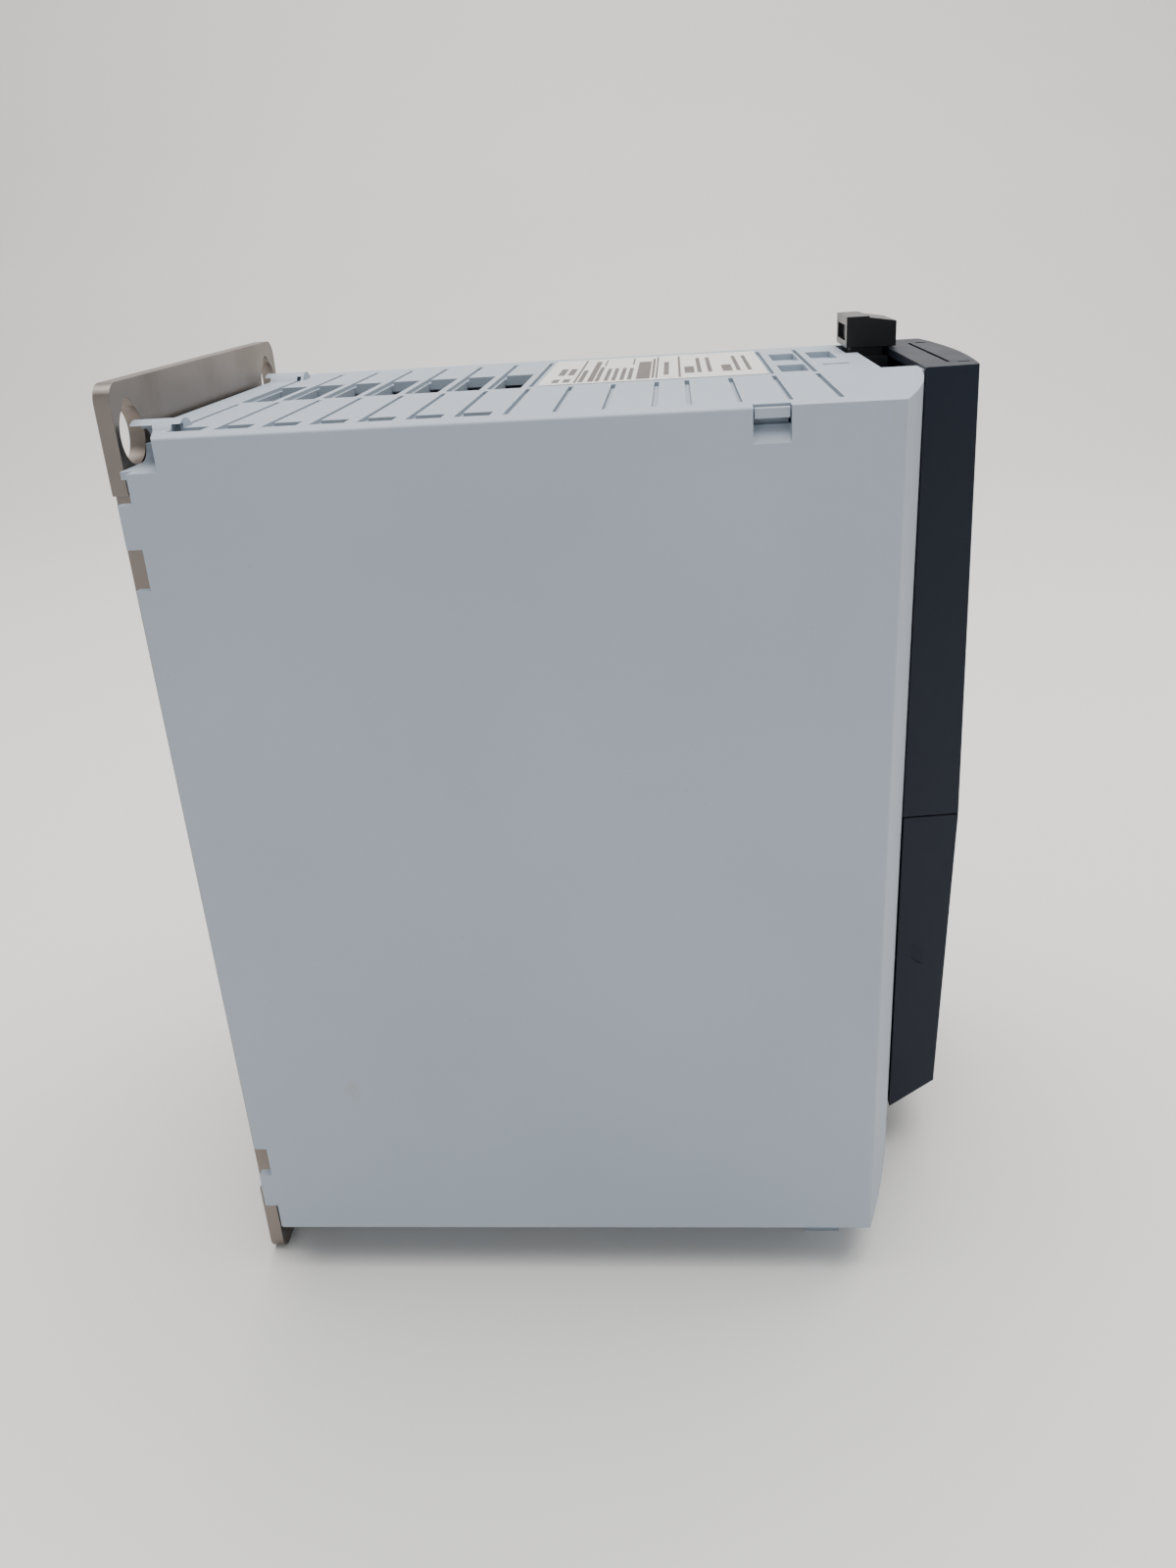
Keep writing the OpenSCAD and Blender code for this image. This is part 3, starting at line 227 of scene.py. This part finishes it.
# %% Group: moulded skin
def make_moulded_skin():
    group, gin, gout = new_group("moulded_skin", [
        ("Colour", COLOUR, (0.5, 0.5, 0.5, 1)), ("Roughness", FLOAT, 0.5),
        ("Grain scale", FLOAT, 2200.0), ("Drift", FLOAT, 0.05), ("Smudge", FLOAT, 0.3),
        ("Specks", FLOAT, 0.5), ("Smudge colour", COLOUR, (0.35, 0.27, 0.17, 1))],
        [("Colour", COLOUR), ("Roughness", FLOAT), ("Height", FLOAT)])
    place = add(group, "ShaderNodeTexCoord").outputs["Object"]
    grain = add(group, "ShaderNodeTexNoise", {"Vector": place, "Scale": gin.outputs["Grain scale"],
                                              "Detail": 3.0, "Roughness": 0.6}).outputs["Fac"]
    drift = add(group, "ShaderNodeTexNoise", {"Vector": place, "Scale": 14.0,
                                              "Detail": 4.0}).outputs["Fac"]
    patch = add(group, "ShaderNodeTexNoise", {"Vector": place, "Scale": 55.0, "Detail": 6.0,
                                              "Roughness": 0.65}).outputs["Fac"]
    stretch = add(group, "ShaderNodeMapping", {"Vector": place, "Rotation": (0.5, 0.3, 0.0),
                                               "Scale": (60.0, 160.0, 34.0)}).outputs["Vector"]
    scuff = add(group, "ShaderNodeTexNoise", {"Vector": stretch, "Scale": 1.0,
                                              "Detail": 5.0}).outputs["Fac"]
    cells = add(group, "ShaderNodeTexVoronoi", {"Vector": place, "Scale": 42.0, "Randomness": 1.0})
    fine_cells = add(group, "ShaderNodeTexVoronoi", {"Vector": place, "Scale": 230.0})
    # Brightness drifts a few percent either way
    swing = math_node(group, "MULTIPLY", math_node(group, "SUBTRACT", drift, 0.5), gin.outputs["Drift"])
    gain = math_node(group, "ADD", math_node(group, "MULTIPLY", swing, 4.0), 1.0)
    tone = mix_colour(group, 1.0, gin.outputs["Colour"], add(
        group, "ShaderNodeCombineColor", {0: gain, 1: gain, 2: gain}).outputs[0], "MULTIPLY")
    # Smudges show only where two noises agree
    marks = math_node(group, "MULTIPLY", ramp(group, patch, 0.60, 0.76), ramp(group, scuff, 0.55, 0.72))
    marks = math_node(group, "MULTIPLY", marks, gin.outputs["Smudge"], clamp=True)
    tone = mix_colour(group, marks, tone, gin.outputs["Smudge colour"])
    # A few cells of the pattern hold one small speck each
    chance = add(group, "ShaderNodeSeparateColor", {0: cells.outputs["Color"]}).outputs[0]
    speck = math_node(group, "MULTIPLY", ramp(group, cells.outputs["Distance"], 0.030, 0.012),
                      ramp(group, chance, 0.72, 0.74))
    fine_chance = add(group, "ShaderNodeSeparateColor", {0: fine_cells.outputs["Color"]}).outputs[1]
    dust = math_node(group, "MULTIPLY", ramp(group, fine_cells.outputs["Distance"], 0.09, 0.03),
                     ramp(group, fine_chance, 0.90, 0.93))
    speck = math_node(group, "MULTIPLY", math_node(group, "ADD", speck, math_node(
        group, "MULTIPLY", dust, 0.35)), gin.outputs["Specks"], clamp=True)
    tone = mix_colour(group, speck, tone, mix_colour(group, 0.75, tone, (0.05, 0.035, 0.02, 1)))
    rough = math_node(group, "ADD", gin.outputs["Roughness"],
                      math_node(group, "MULTIPLY", math_node(group, "SUBTRACT", patch, 0.5), 0.16))
    rough = math_node(group, "ADD", rough, math_node(group, "MULTIPLY", marks, 0.12), clamp=True)
    set_inputs(gout, {"Colour": tone, "Roughness": rough, "Height": grain})
    return group


MOULDED = make_moulded_skin()
print("group", MOULDED.name)

# %% [markdown]
# Metal differs by its direction. Rolled and brushed sheet carries long fine lines,
# turned parts carry rings, and a blasted casting has none. One group stretches a
# noise along an axis, and the stretch is an input.

# %% Group: metal grain
def make_metal_grain():
    group, gin, gout = new_group("metal_grain", [
        ("Colour", COLOUR, (0.6, 0.6, 0.6, 1)), ("Roughness", FLOAT, 0.35),
        ("Stretch", "NodeSocketVector", (40.0, 40.0, 2600.0)), ("Stain", FLOAT, 0.2)],
        [("Colour", COLOUR), ("Roughness", FLOAT), ("Height", FLOAT)])
    place = add(group, "ShaderNodeTexCoord").outputs["Object"]
    drawn = add(group, "ShaderNodeMapping", {"Vector": place,
                                             "Scale": gin.outputs["Stretch"]}).outputs["Vector"]
    lines = add(group, "ShaderNodeTexNoise", {"Vector": drawn, "Scale": 1.0, "Detail": 4.0,
                                              "Roughness": 0.7}).outputs["Fac"]
    cloud = add(group, "ShaderNodeTexNoise", {"Vector": place, "Scale": 60.0, "Detail": 5.0}).outputs["Fac"]
    fine = add(group, "ShaderNodeTexNoise", {"Vector": place, "Scale": 900.0, "Detail": 2.0}).outputs["Fac"]
    shade = math_node(group, "ADD", 0.86, math_node(group, "MULTIPLY", lines, 0.28))
    tone = mix_colour(group, 1.0, gin.outputs["Colour"], add(
        group, "ShaderNodeCombineColor", {0: shade, 1: shade, 2: shade}).outputs[0], "MULTIPLY")
    stain = math_node(group, "MULTIPLY", ramp(group, cloud, 0.45, 0.75), gin.outputs["Stain"], clamp=True)
    tone = mix_colour(group, stain, tone, mix_colour(group, 0.6, tone, (0.16, 0.12, 0.08, 1)))
    rough = math_node(group, "ADD", gin.outputs["Roughness"],
                      math_node(group, "MULTIPLY", math_node(group, "SUBTRACT", lines, 0.5), 0.3))
    rough = math_node(group, "ADD", rough, math_node(group, "MULTIPLY", stain, 0.25), clamp=True)
    height = math_node(group, "ADD", math_node(group, "MULTIPLY", lines, 0.8),
                       math_node(group, "MULTIPLY", fine, 0.2))
    set_inputs(gout, {"Colour": tone, "Roughness": rough, "Height": height})
    return group


METAL = make_metal_grain()
print("group", METAL.name)

# %% [markdown]
# Wear gathers on edges. The Bevel node gives the normal that a rounded edge would
# have, and where it differs from the face's own normal there is an edge. The group
# turns that difference into a mask, broken up with noise so it doesn't look drawn.

# %% Group: edge wear
def make_edge_wear():
    group, gin, gout = new_group("edge_wear", [
        ("Colour", COLOUR, (0.5, 0.5, 0.5, 1)), ("Worn colour", COLOUR, (0.7, 0.7, 0.7, 1)),
        ("Amount", FLOAT, 0.4)], [("Colour", COLOUR), ("Mask", FLOAT)])
    soft = add(group, "ShaderNodeBevel", {"Radius": 0.0007}, samples=4).outputs["Normal"]
    face = add(group, "ShaderNodeNewGeometry").outputs["Normal"]
    dot = add(group, "ShaderNodeVectorMath", {0: soft, 1: face}, operation="DOT_PRODUCT").outputs["Value"]
    place = add(group, "ShaderNodeTexCoord").outputs["Object"]
    broken = add(group, "ShaderNodeTexNoise", {"Vector": place, "Scale": 320.0,
                                               "Detail": 4.0}).outputs["Fac"]
    edge = math_node(group, "MULTIPLY", ramp(group, dot, 0.985, 0.86), ramp(group, broken, 0.38, 0.62))
    edge = math_node(group, "MULTIPLY", edge, gin.outputs["Amount"], clamp=True)
    set_inputs(gout, {"Colour": mix_colour(group, edge, gin.outputs["Colour"], gin.outputs["Worn colour"]),
                      "Mask": edge})
    return group


EDGES = make_edge_wear()
print("group", EDGES.name)

# %% [markdown]
# A narrow gap is painted darker than the light alone makes it, as painted shade.
# The Ambient Occlusion node measures how closed-in a point is, from
# the shape and not from the camera, and the group darkens the colour by it.

# %% Group: painted gap shade
def make_gap_shade():
    group, gin, gout = new_group("gap_shade", [
        ("Colour", COLOUR, (0.5, 0.5, 0.5, 1)), ("Reach", FLOAT, 0.003), ("Depth", FLOAT, 0.6)],
        [("Colour", COLOUR)])
    near = add(group, "ShaderNodeAmbientOcclusion", {"Distance": gin.outputs["Reach"]}, samples=8)
    closed = math_node(group, "MULTIPLY", ramp(group, near.outputs["AO"], 0.80, 0.20),
                       gin.outputs["Depth"], clamp=True)
    # Painted shade: closed-in points are darkened toward this grey
    dark = mix_colour(group, 1.0, gin.outputs["Colour"], (0.13, 0.13, 0.14, 1), "MULTIPLY")
    set_inputs(gout, {"Colour": mix_colour(group, closed, gin.outputs["Colour"], dark)})
    return group


PAINTED_GAP_SHADE = make_gap_shade()
print("group", PAINTED_GAP_SHADE.name)

# %% [markdown]
# Two builders put those groups together, one for plastic and one for metal. A third
# makes the smoked window. They return a material, so that each finish below is one
# call with its own numbers.

# %% Material builders
def new_material(name):
    material = bpy.data.materials.new(name)
    material.use_nodes = True
    tree = material.node_tree
    return material, tree, tree.nodes["Principled BSDF"]


def place_group(tree, group, values):
    node = tree.nodes.new("ShaderNodeGroup")
    node.node_tree = group
    set_inputs(node, values)
    return node.outputs


def plastic(name, colour, roughness, grain=2200.0, depth=0.00003, drift=0.05, smudge=0.2,
            specks=0.3, wear=0.25, coat=0.0, gloss=0.5, painted_shade_depth=0.75, smudge_colour=(0.35, 0.27, 0.17, 1)):
    """Moulded plastic or rubber: grain, drift of colour, smudges, specks and light edges."""
    material, tree, shader = new_material(name)
    skin = place_group(tree, MOULDED, {
        "Colour": (*colour, 1), "Roughness": roughness, "Grain scale": grain, "Drift": drift,
        "Smudge": smudge, "Specks": specks, "Smudge colour": smudge_colour})
    worn = tuple(min(1.0, c * 1.25 + 0.03) for c in colour)
    edges = place_group(tree, EDGES, {"Colour": skin["Colour"], "Worn colour": (*worn, 1), "Amount": wear})
    # Painted shade in gaps and recesses, from the ambient occlusion group
    shade = place_group(tree, PAINTED_GAP_SHADE, {"Colour": edges["Colour"], "Depth": painted_shade_depth})
    bump = add(tree, "ShaderNodeBump", {"Height": skin["Height"], "Distance": depth, "Strength": 0.6})
    set_inputs(shader, {"Base Color": shade["Colour"], "Roughness": skin["Roughness"],
                        "Normal": bump.outputs["Normal"], "Coat Weight": coat, "IOR": 1.5,
                        "Specular IOR Level": gloss})
    return material


def metal(name, colour, roughness, stretch=(40.0, 40.0, 2600.0), stain=0.2, depth=0.00002, wear=0.3):
    """Metal with drawn lines, stains and bright edges."""
    material, tree, shader = new_material(name)
    grain = place_group(tree, METAL, {"Colour": (*colour, 1), "Roughness": roughness,
                                      "Stretch": stretch, "Stain": stain})
    worn = tuple(min(1.0, c * 1.3 + 0.05) for c in colour)
    edges = place_group(tree, EDGES, {"Colour": grain["Colour"], "Worn colour": (*worn, 1), "Amount": wear})
    # Painted shade in gaps and recesses, from the ambient occlusion group
    shade = place_group(tree, PAINTED_GAP_SHADE, {"Colour": edges["Colour"], "Depth": 0.5})
    bump = add(tree, "ShaderNodeBump", {"Height": grain["Height"], "Distance": depth, "Strength": 0.5})
    set_inputs(shader, {"Base Color": shade["Colour"], "Roughness": grain["Roughness"],
                        "Normal": bump.outputs["Normal"], "Metallic": 1.0})
    return material


def smoked_window(name, colour):
    """Clear tinted plastic: it lets through what stands behind it, darkened."""
    material, tree, shader = new_material(name)
    skin = place_group(tree, MOULDED, {"Colour": (*colour, 1), "Roughness": 0.06, "Grain scale": 300.0,
                                       "Drift": 0.02, "Smudge": 0.15, "Specks": 0.0})
    set_inputs(shader, {"Base Color": skin["Colour"], "Roughness": skin["Roughness"],
                        "Metallic": 0.0, "Transmission Weight": 0.85, "IOR": 1.45})
    return material


print("material builders ready")

# %% [markdown]
# Each material slot of the drive gets one finish. Colours are linear values, so a
# mid grey is near 0.2 and a dark cover near 0.01.

# %% Finishes
FINISH = {
    "housing_grey": plastic("housing_grey", (0.335, 0.390, 0.455), 0.52, smudge=0.35, specks=0.6, wear=0.35,
                            painted_shade_depth=0.15),
    "vent_grey": plastic("vent_grey", (0.33, 0.38, 0.42), 0.55, painted_shade_depth=0.15),
    "cover_dark": plastic("cover_dark", (0.0045, 0.0090, 0.0200), 0.48, grain=2600, smudge=0.10,
                          wear=0.35, gloss=0.26, smudge_colour=(0.10, 0.11, 0.12, 1)),
    "plate_steel": metal("plate_steel", (0.235, 0.205, 0.185), 0.42, (2400.0, 60.0, 40.0), 0.35),
    "heat_sink_alu": metal("heat_sink_alu", (0.66, 0.67, 0.68), 0.42, (2200.0, 1200.0, 20.0), 0.15),
    "screw_steel": metal("screw_steel", (0.60, 0.61, 0.62), 0.28, (500.0, 500.0, 500.0), 0.1),
    "brass_parts": metal("brass_parts", (0.70, 0.50, 0.22), 0.30, (700.0, 700.0, 700.0), 0.2),
    "copper_bars": metal("copper_bars", (0.74, 0.38, 0.20), 0.32, (40.0, 40.0, 2000.0), 0.25),
    "black_plastic": plastic("black_plastic", (0.008, 0.008, 0.009), 0.30, grain=900, depth=0.00001,
                             gloss=0.28, smudge=0.25, specks=0.0, wear=0.3,
                             smudge_colour=(0.10, 0.085, 0.07, 1)),
    "fan_plastic": plastic("fan_plastic", (0.016, 0.016, 0.018), 0.50),
    "grommet_rubber": plastic("grommet_rubber", (0.012, 0.012, 0.012), 0.75, depth=0.00005),
    "board_green": plastic("board_green", (0.012, 0.085, 0.035), 0.35, grain=700, wear=0.1),
    "terminal_dark": plastic("terminal_dark", (0.020, 0.022, 0.025), 0.5),
    "terminal_green": plastic("terminal_green", (0.03, 0.15, 0.07), 0.45),
    "chip_black": plastic("chip_black", (0.012, 0.012, 0.014), 0.6, grain=3200),
    "capacitor_sleeve": plastic("capacitor_sleeve", (0.010, 0.013, 0.030), 0.25, grain=500),
    "relay_orange": plastic("relay_orange", (0.60, 0.16, 0.02), 0.35),
    "choke_winding": metal("choke_winding", (0.50, 0.17, 0.05), 0.35, (900.0, 900.0, 900.0), 0.1),
    "ribbon_grey": plastic("ribbon_grey", (0.22, 0.24, 0.26), 0.55),
    "label_film": plastic("label_film", (0.70, 0.69, 0.66), 0.38, grain=1200, depth=0.00001, smudge=0.12,
                          wear=0.1),
    "window_smoke": smoked_window("window_smoke", (0.30, 0.10, 0.11)),
    "digit_block": plastic("digit_block", (0.05, 0.04, 0.04), 0.4),
    "lamp_clear": plastic("lamp_clear", (0.30, 0.42, 0.28), 0.2, depth=0.00001, wear=0.1),
    "key_grey": plastic("key_grey", (0.045, 0.056, 0.070), 0.62, depth=0.00004),
    "key_green": plastic("key_green", (0.015, 0.15, 0.035), 0.62, depth=0.00004),
    "key_red": plastic("key_red", (0.28, 0.012, 0.010), 0.62, depth=0.00004),
    "dial_grey": plastic("dial_grey", (0.020, 0.026, 0.034), 0.45),
}
floor_paint, floor_tree, floor_shader = new_material("floor_paint")
floor_noise = add(floor_tree, "ShaderNodeTexNoise", {"Scale": 7.0, "Detail": 8.0})
floor_colour = mix_colour(floor_tree, ramp(floor_tree, floor_noise.outputs["Fac"], 0.35, 0.65),
                          (0.78, 0.765, 0.745, 1), (0.83, 0.815, 0.795, 1))
set_inputs(floor_shader, {"Base Color": floor_colour, "Roughness": 0.75})
floor.data.materials.append(floor_paint)

slot_of = {part["node"]: part["material_slot"] for part in frame["record"]["subparts"]}
for name, part in nodes.items():
    part.data.materials.clear()
    part.data.materials.append(FINISH[slot_of[name]])
print("finishes:", len(FINISH))

# %% [markdown]
# A CAD solid has perfectly sharp edges, and no moulding has. Each shell that
# shows is copied, its triangles are merged back into flat faces, and its edges
# are rounded with bmesh's bevel. The copy stands in for the CAD node.

# %% Rounded copies of the shells
def body_of(node):
    return next(b for b, members in frame["record"]["behaviour"]["bodies"].items() if node in members)


def rounded_copy(node, small, large=0.0, is_large=None, steps=3):
    """Copies a CAD node with its edges rounded: large where is_large says so, small elsewhere."""
    bm = bmesh.new()
    bm.from_mesh(nodes[node].data)
    bmesh.ops.remove_doubles(bm, verts=bm.verts, dist=0.000002)
    bmesh.ops.dissolve_limit(bm, angle_limit=math.radians(0.4), verts=bm.verts, edges=bm.edges)

    def sharp():
        return [e for e in bm.edges if e.is_manifold and e.calc_face_angle() > math.radians(35)]

    if is_large:
        chosen = [e for e in sharp() if is_large(e)]
        bmesh.ops.bevel(bm, geom=chosen, offset=large, offset_type="OFFSET", affect="EDGES",
                        segments=steps, profile=0.5, material=-1, clamp_overlap=True)
    bmesh.ops.bevel(bm, geom=sharp(), offset=small, offset_type="OFFSET", affect="EDGES",
                    segments=2, profile=0.5, material=-1, clamp_overlap=True)
    bmesh.ops.remove_doubles(bm, verts=bm.verts, dist=0.000001)
    piece = link(node + "_rounded", bm)
    for polygon in piece.data.polygons:
        polygon.use_smooth = True
    piece.data.set_sharp_from_angle(angle=math.radians(50))
    # Big faces keep their own direction, so only the rounded edges shade softly
    piece.modifiers.new("flat_faces", "WEIGHTED_NORMAL").keep_sharp = True
    piece.data.materials.append(FINISH[slot_of[node]])
    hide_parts(node)
    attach(piece, body_of(node))
    print(piece.name, "faces", len(piece.data.polygons))
    return piece


def long_edge(length):
    return lambda e: e.calc_length() > length


left_low, left_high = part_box("left_housing")


def outer_left_edge(e):
    """True for the long outer edges of the left half."""
    a, b = (v.co for v in e.verts)
    outside = all(abs(p.x - left_low.x) < 0.0001 for p in (a, b))
    return outside and e.calc_length() > 0.1


rounded_copy("left_housing", 0.00018, 0.0007, outer_left_edge)
rounded_copy("right_housing", 0.00018)
rounded_copy("mounting_plate", 0.0006)
rounded_copy("upper_cover", 0.0003, 0.0009, long_edge(0.05))
rounded_copy("lower_cover", 0.0003, 0.0009, long_edge(0.05))
rounded_copy("operator_case", 0.0003)
rounded_copy("service_plug", 0.0004)
rounded_copy("side_latch", 0.00015)
for key in ("key_back", "key_up", "key_enter", "key_run", "key_down", "key_stop"):
    rounded_copy(key, 0.0004)
rounded_copy("speed_dial", 0.0003)
rounded_copy("fan_cover", 0.0003)
rounded_copy("entry_plate", 0.0003)
rounded_copy("entry_grommets", 0.0003)

# %% [markdown]
# The rating label is a printed film. Real print would name its maker, so here it is
# only bars and rules in the same layout: short words, long lines, one dense block.
# Each bar is a very thin box on the film, made as one mesh.

# %% Label print
label_low, label_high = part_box("rating_label")
PRINT_T = 0.00004
BOLD = 1.25
PRINT_SEED = 4
# In mm: distance from the label's rear edge, thickness, start and end across, and the
# length of a word, where 0 makes one solid bar
PRINT_ROWS = [
    (3.6, 1.3, 4, 11, 3.0), (3.9, 1.3, 20, 36, 5.0), (6.2, 1.3, 4, 11, 6.0), (6.3, 1.3, 20, 36, 7.0),
    (8.4, 0.45, 2, 57, 0), (9.7, 0.9, 3, 30, 2.6), (12.0, 1.1, 3, 52, 0), (13.6, 0.8, 3, 36, 2.2),
    (15.7, 0.8, 3, 31, 2.4), (17.5, 0.8, 3, 31, 2.0), (19.4, 0.8, 3, 31, 2.8), (21.2, 0.8, 3, 30, 2.4),
    (14.0, 0.35, 39, 55, 0), (21.3, 0.35, 39, 55, 0), (24.4, 2.6, 3, 45, 0), (26.7, 0.5, 4, 52, 1.2),
    (27.6, 0.35, 3, 57, 0), (29.9, 1.0, 9, 41, 2.0), (33.1, 0.45, 3, 55, 0), (35.5, 1.9, 11, 26, 6.5),
    (37.9, 0.8, 11, 48, 3.0), (40.4, 0.8, 11, 48, 2.6), (44.6, 1.9, 11, 26, 6.5), (47.2, 0.8, 11, 48, 3.2),
    (49.8, 0.8, 11, 48, 2.6)]
random.seed(PRINT_SEED)


def thin_box(bm, x0, x1, y0, y1, z0, z1):
    """Adds one box between two corners, in metres."""
    size = Vector((x1 - x0, y1 - y0, z1 - z0))
    centre = Vector(((x0 + x1) / 2, (y0 + y1) / 2, (z0 + z1) / 2))
    place = Matrix.Translation(centre) @ Matrix.Diagonal((*size, 1))
    bmesh.ops.create_cube(bm, size=1.0, matrix=place)


bm = bmesh.new()
for back, thick, start, end, word in PRINT_ROWS:
    y = label_high.y - back * MM
    x = label_low.x + start * MM
    stop = label_low.x + end * MM
    while x < stop - 0.2 * MM:
        length = (stop - x) if word == 0 else min(stop - x, word * random.uniform(0.6, 1.5) * MM)
        half = thick * BOLD * MM / 2
        thin_box(bm, x, x + length, y - half, y + half, label_high.z - 0.00001, label_high.z + PRINT_T)
        x += length + 0.6 * MM
label_print = link("label_print", bm)
label_print.data.materials.append(plastic("label_ink", (0.080, 0.063, 0.056), 0.5, grain=900,
                                          depth=0.000004, specks=0.0, wear=0.0, painted_shade_depth=0.0))
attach(label_print, "drive")
print("label bars:", len(label_print.data.polygons) // 6)

# %% [markdown]
# The operator panel has plain signs instead of words: triangles for up, down and
# run, a square for stop, arrows for back and enter. Each sign is a flat outline
# that is extruded a tenth of a millimetre and rides on its key.

# %% Signs on the keys and the dial
SIGN_T = 0.12 * MM
SIGN_ROOT = 0.05 * MM
SIGNS = {
    "key_up": [(-2.2, -1.5), (2.2, -1.5), (0, 2.1)],
    "key_down": [(-2.2, 1.5), (0, -2.1), (2.2, 1.5)],
    "key_run": [(-1.6, -2.2), (2.2, 0), (-1.6, 2.2)],
    "key_stop": [(-1.9, -1.9), (1.9, -1.9), (1.9, 1.9), (-1.9, 1.9)],
    "key_back": [(-2.8, 0), (-0.6, -2.0), (-0.6, -0.6), (2.6, -0.6), (2.6, 0.6), (-0.6, 0.6), (-0.6, 2.0)],
    "key_enter": [(-2.8, -0.8), (-0.8, -2.4), (-0.8, -1.3), (2.6, -1.3), (2.6, 2.2), (1.6, 2.2),
                  (1.6, -0.3), (-0.8, -0.3), (-0.8, 0.8)],
}
sign_white = plastic("sign_white", (0.62, 0.63, 0.62), 0.5, grain=1500, depth=0.000005,
                     wear=0.0, painted_shade_depth=0.0)


def flat_shape(bm, outline, x, z, y_back, y_front):
    """Adds a closed shape: an outline in mm about (x, z), extruded from one depth to another."""
    face = bm.faces.new([bm.verts.new((x + u * MM, y_back, z + w * MM)) for u, w in outline])
    made = bmesh.ops.extrude_face_region(bm, geom=[face])["geom"]
    moved = [g for g in made if isinstance(g, bmesh.types.BMVert)]
    bmesh.ops.translate(bm, verts=moved, vec=(0, y_front - y_back, 0))


def finish_shapes(name, bm, material, body):
    """Turns flat shapes outward and makes them one piece that rides on a body."""
    bmesh.ops.recalc_face_normals(bm, faces=bm.faces)
    piece = link(name, bm)
    piece.data.materials.append(material)
    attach(piece, body)
    return piece


for key, outline in SIGNS.items():
    low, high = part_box(key)
    bm = bmesh.new()
    flat_shape(bm, outline, (low.x + high.x) / 2, (low.z + high.z) / 2, low.y + SIGN_ROOT, low.y - SIGN_T)
    finish_shapes(key + "_sign", bm, sign_white, key)

dial_low, dial_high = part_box("speed_dial")
dial_x, dial_z = (dial_low.x + dial_high.x) / 2, (dial_low.z + dial_high.z) / 2
bm = bmesh.new()
flat_shape(bm, [(-0.45, 2.2), (0.45, 2.2), (0.45, 6.4), (-0.45, 6.4)], dial_x, dial_z,
           dial_low.y + SIGN_ROOT, dial_low.y - SIGN_T)
finish_shapes("dial_pointer", bm, sign_white, "speed_dial")

# How far the window stands behind the panel's face
WINDOW_SET = 0.2 * MM

# Marks stand round the dial, from one end of its turn to the other
window_low, window_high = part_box("display_window")
panel_y = window_low.y - WINDOW_SET
MARKS, MARK_IN, MARK_OUT, MARK_HALF, MARK_TURN = 11, 8.6, 10.0, 0.22, 140
bm = bmesh.new()
for i in range(MARKS):
    a = math.radians(-MARK_TURN + 2 * MARK_TURN * i / (MARKS - 1))
    along = Vector((math.sin(a), math.cos(a)))
    across = Vector((math.cos(a), -math.sin(a))) * MARK_HALF
    outline = [along * MARK_IN - across, along * MARK_IN + across, along * MARK_OUT + across,
               along * MARK_OUT - across]
    flat_shape(bm, outline, dial_x, dial_z, panel_y + SIGN_ROOT, panel_y - SIGN_T)
finish_shapes("dial_marks", bm, sign_white, "operator_module")
print("signs:", len(SIGNS), "marks:", MARKS)

# %% [markdown]
# The display is switched off, so its five digits are pale segments in a dark block,
# seen through a smoked window. Each segment is a bar with pointed ends.

# %% Display
DIGITS, DIGIT_PITCH, DIGIT_W, DIGIT_H, SEGMENT_T = 5, 6.4, 3.8, 8.0, 0.9
SEGMENT_GAP = 0.12
SEGMENT_RISE = 0.1 * MM
WINDOW_GAP = 0.3 * MM


def segments():
    """Outlines of the seven segments of one digit, about its middle, in mm."""
    w, h, r, gap = DIGIT_W / 2, DIGIT_H / 2, SEGMENT_T / 2, SEGMENT_GAP
    made = []
    for z in (-h, 0, h):
        made.append([(-w + gap, z), (-w + gap + r, z + r), (w - gap - r, z + r), (w - gap, z),
                     (w - gap - r, z - r), (-w + gap + r, z - r)])
    for x in (-w, w):
        for low in (-h, 0):
            a, b = low + gap, low + h - gap
            made.append([(x, a), (x + r, a + r), (x + r, b - r), (x, b), (x - r, b - r), (x - r, a + r)])
    return made


digits_low, digits_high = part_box("display_digits")
bm = bmesh.new()
for i in range(DIGITS):
    x = (digits_low.x + digits_high.x) / 2 + (i - (DIGITS - 1) / 2) * DIGIT_PITCH * MM
    for outline in segments():
        flat_shape(bm, outline, x, (digits_low.z + digits_high.z) / 2, digits_low.y + SIGN_ROOT,
                   digits_low.y - SEGMENT_RISE)
segment_pale = plastic("segment_pale", (0.50, 0.42, 0.38), 0.5, grain=1500, depth=0.000005,
                       wear=0.0, painted_shade_depth=0.0)
finish_shapes("digit_segments", bm, segment_pale, "operator_module")

bm = bmesh.new()
thin_box(bm, window_low.x, window_high.x, window_low.y, window_high.y - WINDOW_GAP,
         window_low.z, window_high.z)
bmesh.ops.bevel(bm, geom=list(bm.edges), offset=0.0002, offset_type="OFFSET", affect="EDGES",
                segments=2, profile=0.5, material=-1)
window = finish_shapes("window_pane", bm, FINISH["window_smoke"], "operator_module")
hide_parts("display_window")
print("digits:", DIGITS)
